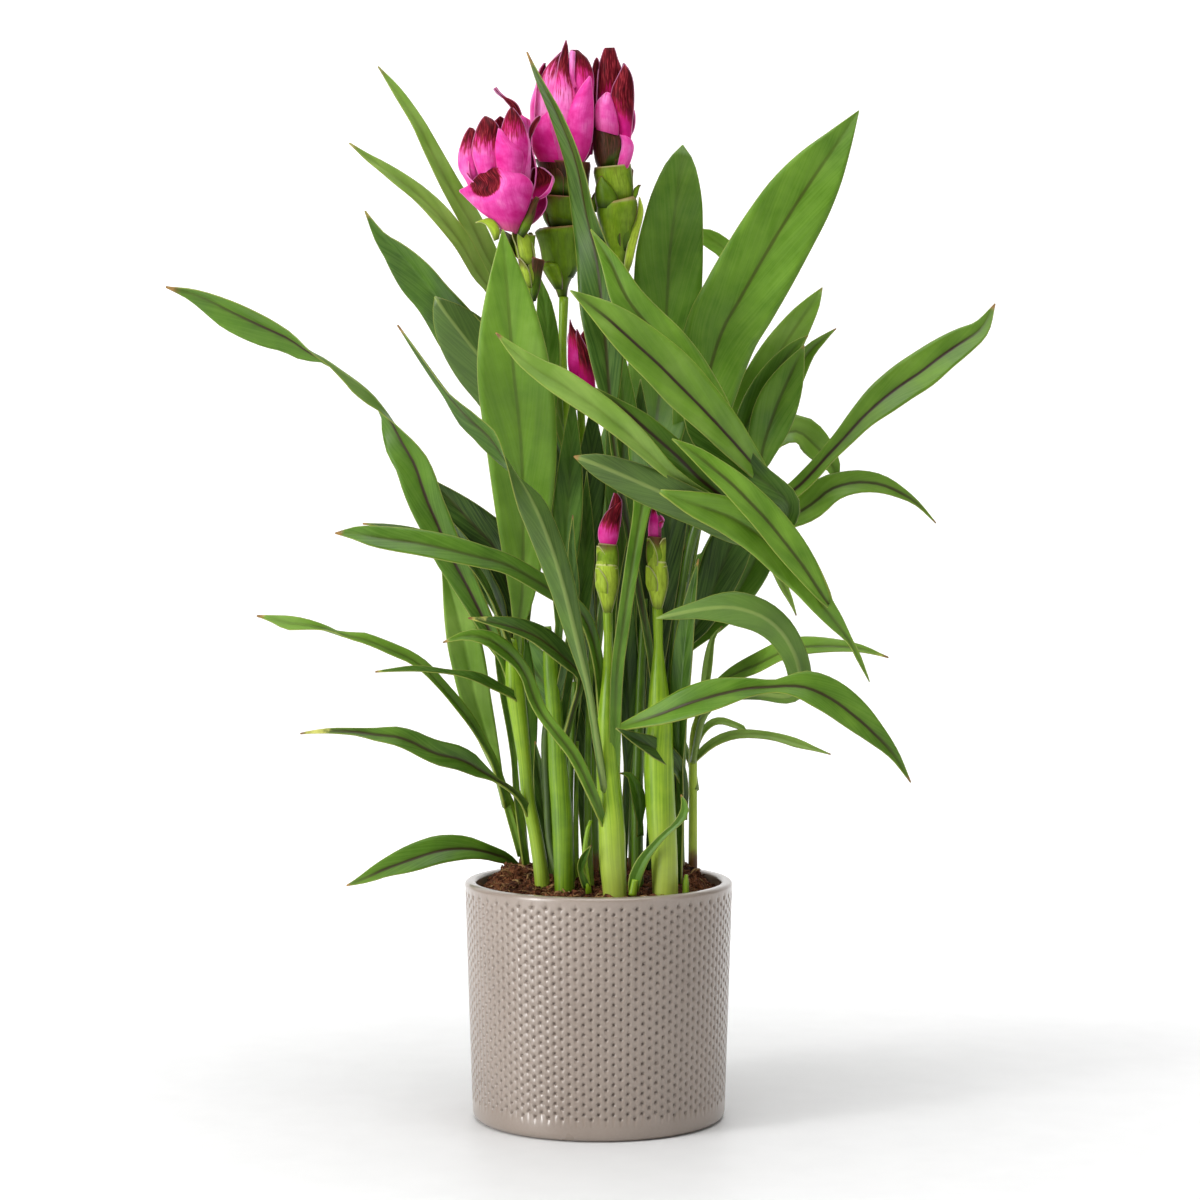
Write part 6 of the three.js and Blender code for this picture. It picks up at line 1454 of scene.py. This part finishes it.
def make_cups(letter, head):
    """Tiers of three green bracts each, which stand a little off one another round a core."""
    for k, (base, rim, inner, outer, turn, dark) in enumerate(head.cups):
        core = [(base, inner), (rim - 2, inner - 0.5)]
        make_core(f"cup_{letter}_core_{k}", head.node, head.axis, core, green_bract_material)
        for j, offset in enumerate((0, 0.5, -0.5)):
            radius = outer + offset
            row = (turn + 120 * j, base, rim - base + 1.6, radius - 0.3, radius, 2.3 * outer)
            make_bract(
                f"cup_{letter}_{k}_{j}",
                head.node,
                head.axis,
                inner - 0.6,
                row,
                green_bract_material,
                (head.cup_tone, dark, 0),
                cup=True,
                number=40 + 5 * k + j,
            )


# Pot: one lathed body whose wall carries columns of small pits, every other column shifted
def pot_radius(z):
    t = (z - POT_CORNER) / (POT_HEIGHT - POT_CORNER)
    return POT_BASE_RADIUS + (POT_DIAMETER / 2 - POT_BASE_RADIUS) * t


def make_pot():
    """Pot body. Its wall has a vertex grid placed on the pits, whose odd columns sit half a pitch
    lower than the even ones."""
    pitch = 2 * math.pi / PIT_COLUMNS
    across = np.tile(PIT_ACROSS, PIT_COLUMNS)
    column = np.repeat(np.arange(PIT_COLUMNS), len(PIT_ACROSS))
    angles = column * pitch + across / WALL_RADIUS
    low, high = PLAIN_FOOT + PIT_PITCH / 2, PLAIN_FOOT + PIT_PITCH
    count = int((POT_HEIGHT - PLAIN_RIM - 1 - low) / PIT_PITCH) + 1
    level = np.repeat(np.arange(count), len(PIT_ALONG))[:, None]
    along = np.tile(PIT_ALONG, count)[:, None]
    odd = (column % 2)[None, :]
    centre = np.where(odd, low, high) + PIT_PITCH * level
    plain = centre > POT_HEIGHT - PLAIN_RIM - 1
    centre = np.where(plain, POT_HEIGHT - PLAIN_RIM - 1, centre)
    wall = centre + along * np.where(plain, 0.8, 1)
    reach = (along**2 + across[None, :] ** 2) / PIT_RADIUS**2
    pit = np.where(plain, 0, np.clip(1 - reach, 0, 1) ** 0.7)
    rim = POT_DIAMETER / 2
    turn = np.linspace(0, math.pi / 2, 5)
    foot = [(r, 0.0) for r in (8, 20, 35, 50)]
    foot += [
        (POT_BASE_RADIUS - POT_CORNER * (1 - math.sin(a)), POT_CORNER * (1 - math.cos(a)))
        for a in turn
    ]
    foot += [(pot_radius(WALL_START), WALL_START)]
    lip = [(rim, POT_HEIGHT - WALL_END)]
    rise = [LIP_RADIUS * (1 - math.sin(a)) for a in turn]
    fall = [LIP_RADIUS * (1 - math.cos(a)) for a in turn]
    lip += [(rim - b, POT_HEIGHT - a) for a, b in zip(rise, fall)]
    lip += [(rim - POT_WALL + a, POT_HEIGHT - b) for a, b in zip(rise, fall)]
    lip += [(pot_radius(z) - POT_WALL, z) for z in (112.0, 104.0, 90.0, 60.0, 30.0, POT_FLOOR)]
    lip += [(40.0, POT_FLOOR), (15.0, POT_FLOOR)]
    ones = np.ones((1, len(angles)))
    ends = [np.array(part)[:, :, None] * ones[None] for part in (foot, lip)]
    wall_radius = pot_radius(wall) - PIT_DEPTH * pit
    radius = np.concatenate([ends[0][:, 0], wall_radius, ends[1][:, 0]])
    height = np.concatenate([ends[0][:, 1], wall, ends[1][:, 1]])
    hollow = np.concatenate([0 * ends[0][:, 0], pit, 0 * ends[1][:, 0]])
    points = np.stack([radius * np.cos(angles), radius * np.sin(angles), height], -1)
    points = points.reshape(-1, 3)
    # The pit channel holds each point's depth in its pit, which the glaze uses to paint shade into
    # the pits
    channels = {"pit": np.stack([hollow.ravel()] * 4, -1)}
    return make_object(
        "glazed_pot", points, ring_faces(*radius.shape), glaze_material, "pot", channels
    )


def soil_height(x, y):
    radius = np.hypot(x, y)
    edge = np.maximum(0, (radius - 46) / 14) ** 1.5 * 7
    heap = 4 * np.exp(-((x + 49) ** 2 + (y - 22) ** 2) / 120)
    other = 5 * np.exp(-((x - 41) ** 2 + (y - 30) ** 2) / 200)
    lumps = 0.5 * np.sin(x * 0.9 + 2 * np.sin(y * 0.5)) * np.sin(y * 0.8 + 1.5 * np.sin(x * 0.4))
    return SOIL_LEVEL + SOIL_SLOPE * y + heap + other - edge + lumps


def make_soil():
    rng = np.random.default_rng(7)
    wall = pot_radius(112) - POT_WALL - SOIL_GAP
    rings = np.concatenate([[0.01], np.linspace(1.2, wall, 52)])
    angles = np.linspace(0, 2 * math.pi, 220, endpoint=False)
    x = rings[:, None] * np.cos(angles)
    y = rings[:, None] * np.sin(angles)
    grain = rng.normal(0, 0.35, x.shape)
    grain[0] = grain[0].mean()
    z = soil_height(x, y) - 0.3 + grain
    deep = [(wall, 100.0), (pot_radius(60) - POT_WALL - SOIL_GAP, 60.0)]
    deep += [(pot_radius(8) - POT_WALL - SOIL_GAP, POT_FLOOR + 0.32), (20.0, POT_FLOOR + 0.32)]
    for radius, level in deep:
        x = np.vstack([x, radius * np.cos(angles)])
        y = np.vstack([y, radius * np.sin(angles)])
        z = np.vstack([z, np.full(len(angles), level)])
    points = np.stack([x, y, z], -1)
    index = np.arange(points.shape[0] * points.shape[1]).reshape(points.shape[:2])
    turned = np.roll(index, -1, axis=1)
    faces = np.stack([index[:-1], index[1:], turned[1:], turned[:-1]], -1).reshape(-1, 4).tolist()
    faces += [index[0].tolist(), index[-1][::-1].tolist()]
    points = points.reshape(-1, 3)
    return make_object("soil_bed", points, faces, soil_material, "soil", smooth=False)


def lump_shape():
    """Points and faces of a ball of 26 points, which each crumb is pressed from."""
    points = [(0.0, 0.0, -1.0)]
    for level in (-0.7, 0.0, 0.7):
        ring = math.sqrt(1 - level**2)
        for k in range(8):
            angle = k * math.pi / 4 + level
            points.append((ring * math.cos(angle), ring * math.sin(angle), level))
    points.append((0.0, 0.0, 1.0))
    faces = []
    for k in range(8):
        after = (k + 1) % 8
        faces.append((0, 1 + after, 1 + k))
        for ring in (1, 9):
            a, b = ring + k, ring + after
            faces += [(a, b, b + 8), (a, b + 8, a + 8)]
        faces.append((25, 17 + k, 17 + after))
    return np.array(points), faces


def make_litter(name, shapes, material, smooth=True):
    """One piece of the soil made of many shapes, each given by its points and faces."""
    points, faces, total = [], [], 0
    for shape, walls in shapes:
        points.append(shape)
        faces += [[i + total for i in f] for f in walls]
        total += len(shape)
    return make_object(name, np.concatenate(points), faces, material, "soil", smooth=smooth)


def make_crumbs():
    rng = np.random.default_rng(11)
    ball, ball_faces = lump_shape()
    shapes = []
    for _ in range(CRUMBS):
        radius = CRUMB_SPREAD * math.sqrt(rng.random())
        angle = rng.uniform(0, 2 * math.pi)
        x, y = radius * math.cos(angle), radius * math.sin(angle)
        size = rng.choice(CRUMB_SIZES, p=CRUMB_SHARES)
        stretch = rng.uniform(0.6, 1.5, 3) * size
        turn, _ = np.linalg.qr(rng.normal(size=(3, 3)))
        shape = (ball * rng.uniform(0.75, 1.2, (len(ball), 1)) * stretch) @ turn.T
        shape = shape + np.array([x, y, soil_height(x, y) + 0.1 * size])
        if np.hypot(*shape.T[:2]).max() <= CRUMB_REACH:
            shapes.append((shape, ball_faces))
    return make_litter("soil_crumbs", shapes, soil_material, smooth=False)


def thread(x, y, heading, bend, step, level, rise, thick, end, count, reach):
    """Points and faces of a thread that arches over the soil and tapers to a tip, in a list that
    is empty where the thread would pass the reach."""
    centres = []
    for j in range(count):
        arch = rise * math.sin(j / (count - 1) * math.pi)
        centres.append((x, y, float(soil_height(x, y)) + level + arch))
        x += step * math.cos(heading)
        y += step * math.sin(heading)
        heading += bend
    if max(math.hypot(c[0], c[1]) for c in centres) > reach:
        return []
    radii = [thick] * (count - 2) + [thick * 0.8, thick * end]
    return [tube_mesh(centres, radii, count - 2)[:2]]


def make_fibres():
    rng = np.random.default_rng(23)
    shapes = []
    for _ in range(FIBRES):
        radius = FIBRE_SPREAD * math.sqrt(rng.random())
        angle = rng.uniform(0, 2 * math.pi)
        heading = rng.uniform(0, 2 * math.pi)
        bend = rng.normal(0, 0.35)
        step = rng.uniform(0.7, 1.8)
        thick = rng.uniform(0.09, 0.26)
        x, y = radius * math.cos(angle), radius * math.sin(angle)
        shapes += thread(x, y, heading, bend, step, 0.25, 0.5, thick, 0.4, 7, FIBRE_REACH)
    return make_litter("soil_fibres", shapes, fibre_material)


def make_roots():
    """Pale root threads that come out of the soil beside the stems at the left and front."""
    rng = np.random.default_rng(31)
    shapes = []
    for _ in range(ROOTS):
        angle = rng.uniform(math.radians(150), math.radians(290))
        radius = rng.uniform(28, 52)
        heading = rng.uniform(0, 2 * math.pi)
        bend = rng.uniform(-0.5, 0.5)
        rise = rng.uniform(1.0, 3.2)
        thick = rng.uniform(0.3, 0.55)
        x, y = radius * math.cos(angle), radius * math.sin(angle)
        shapes += thread(x, y, heading, bend, 1.5, -0.8, rise, thick, 0.5, 9, ROOT_REACH)
    return make_litter("soil_roots", shapes, fibre_material)


def make_husks():
    """Papery scraps of old sheaths that stand and lie at the feet of the stems."""
    spots = [(-44, 8, 200, 8), (-30, -26, 250, 7), (-21, -30, 300, 6), (-9, -38, 230, 7),
             (8, -44, 280, 6), (20, -40, 320, 7), (-39, -8, 180, 6), (47, 12, 20, 7)]
    u, v = np.linspace(0, 1, 9)[:, None], np.linspace(-1, 1, 7)[None, :]
    shapes = []
    for k, (x, y, heading, size) in enumerate(spots):
        turn = math.radians(heading)
        ahead = np.array([math.cos(turn), math.sin(turn)])
        aside = np.array([-math.sin(turn), math.cos(turn)])
        half = size * 0.3 * np.sin(math.pi * (0.15 + 0.75 * u)) * (1 + 0.15 * np.sin(5 * u + k))
        reach = size * 0.7 * u + 0.4 * np.sin(6 * v + k) * u
        across = half * v
        ground = np.array([x, y]) + ahead * reach[..., None] + aside * across[..., None]
        lift = size * 0.34 * np.sin(1.9 * u) + 0.9 * np.abs(v) ** 2
        lift = lift + 0.2 * np.sin(9 * u + 4 * v + k)
        level = soil_height(x, y) - 0.6 + lift
        grid = np.concatenate([ground, level[..., None]], -1)
        shapes.append(sheet_mesh(grid, HUSK_THICKNESS))
    return make_litter("soil_husks", shapes, fibre_material)


# Stage, in metres
CAMERA_PLACE = (0.00065, -1.5, 0.326)
CAMERA_TILT = 2.47
LENS = 89.55
SENSOR_WIDTH = 36
WORLD_STRENGTH = 0.22
# (name, place, target, power, width, height)
LIGHTS = [
    ("key", (-1.75, -1.15, 0.95), (0, 0, 0.3), 26, 1.2, 1.7),
    ("strip", (-1.6, -1.05, 0.75), (0, 0, 0.2), 14, 0.28, 1.4),
    ("top", (0.1, -0.3, 2.2), (0, 0, 0.3), 38, 1.9, 1.7),
    ("fill", (1.9, -1.3, 0.9), (0, 0, 0.3), 5, 0.8, 1.6),
]


def make_stage():
    s = Shader("floor")
    grain = s.noise(s.position(), 40.0, 2.0)
    s.principled.inputs["Emission Color"].default_value = (1, 1, 1, 1)
    far = s.add("ShaderNodeVectorMath", {0: s.position()}, operation="LENGTH").outputs["Value"]
    s.join(s.map(far, 0.1, 0.9, 0.0, 0.5), s.principled.inputs["Emission Strength"])
    floor_material = s.finish(s.ramp(grain, (0.3, (0.74, 0.74, 0.74)), (0.7, (0.76, 0.76, 0.76))))
    bend, end = 0.8, 1.6
    profile = [(-2.6, 0.0), (end, 0.0)]
    profile += [
        (end + bend * math.sin(a), bend - bend * math.cos(a))
        for a in np.linspace(0.1, math.pi / 2, 10)
    ]
    profile += [(end + bend, 3.2)]
    points = [(x, y, z) for y, z in profile for x in (-3.2, 3.2)]
    faces = [(2 * k, 2 * k + 1, 2 * k + 3, 2 * k + 2) for k in range(len(profile) - 1)]
    mesh = bpy.data.meshes.new("floor")
    mesh.from_pydata(points, [], faces)
    mesh.materials.append(floor_material)
    mesh.shade_smooth()
    floor = add_object("floor", mesh)


def make_light(name, location, target, power, width, height):
    light = bpy.data.lights.new(name, "AREA")
    light.shape = "RECTANGLE"
    light.energy = power
    light.size = width
    light.size_y = height
    lamp = add_object(name, light)
    lamp.location = location
    lamp.rotation_euler = (Vector(target) - Vector(location)).to_track_quat("-Z", "Y").to_euler()


def make_camera():
    camera = bpy.data.cameras.new("camera")
    camera.lens = LENS
    camera.sensor_width = SENSOR_WIDTH
    eye = add_object("camera", camera)
    eye.location = CAMERA_PLACE
    eye.rotation_euler = (math.radians(90 - CAMERA_TILT), 0, 0)
    bpy.context.scene.camera = eye


def make_world():
    world = bpy.data.worlds.new("studio")
    world.use_nodes = True
    background = world.node_tree.nodes["Background"]
    background.inputs[0].default_value = (1, 1, 1, 1)
    background.inputs[1].default_value = WORLD_STRENGTH
    bpy.context.scene.world = world


def flat(groups):
    """Every item of a grouped table with its node, in order."""
    return [(node, item) for node, items in groups for item in items]


# Assembly. The numbers count through each table, as they seed the pieces' small differences.
for number, (node, leaf) in enumerate(flat(LEAVES)):
    make_leaf(node, leaf, number)
for number, stem in enumerate(STEMS):
    make_stem(*stem, number)
for number, (node, petal) in enumerate(flat(PETALS)):
    make_petal(node, petal, number)
for letter, head in HEADS.items():
    make_cups(letter, head)
side_row, side_look = (150, 432, 17, 8, 15, 14), (1, 0.9, 0)
make_bract(
    "bract_a_side", "shoot_left", HEADS["a"].axis, 4, side_row, green_bract_material, side_look
)
for letter, head in HEADS.items():
    make_coma(letter, head)
make_pot()
make_soil()
make_crumbs()
make_fibres()
make_roots()
make_husks()
make_stage()
make_camera()
for light in LIGHTS:
    make_light(*light)
make_world()
bpy.context.scene.view_settings.view_transform = "Standard"
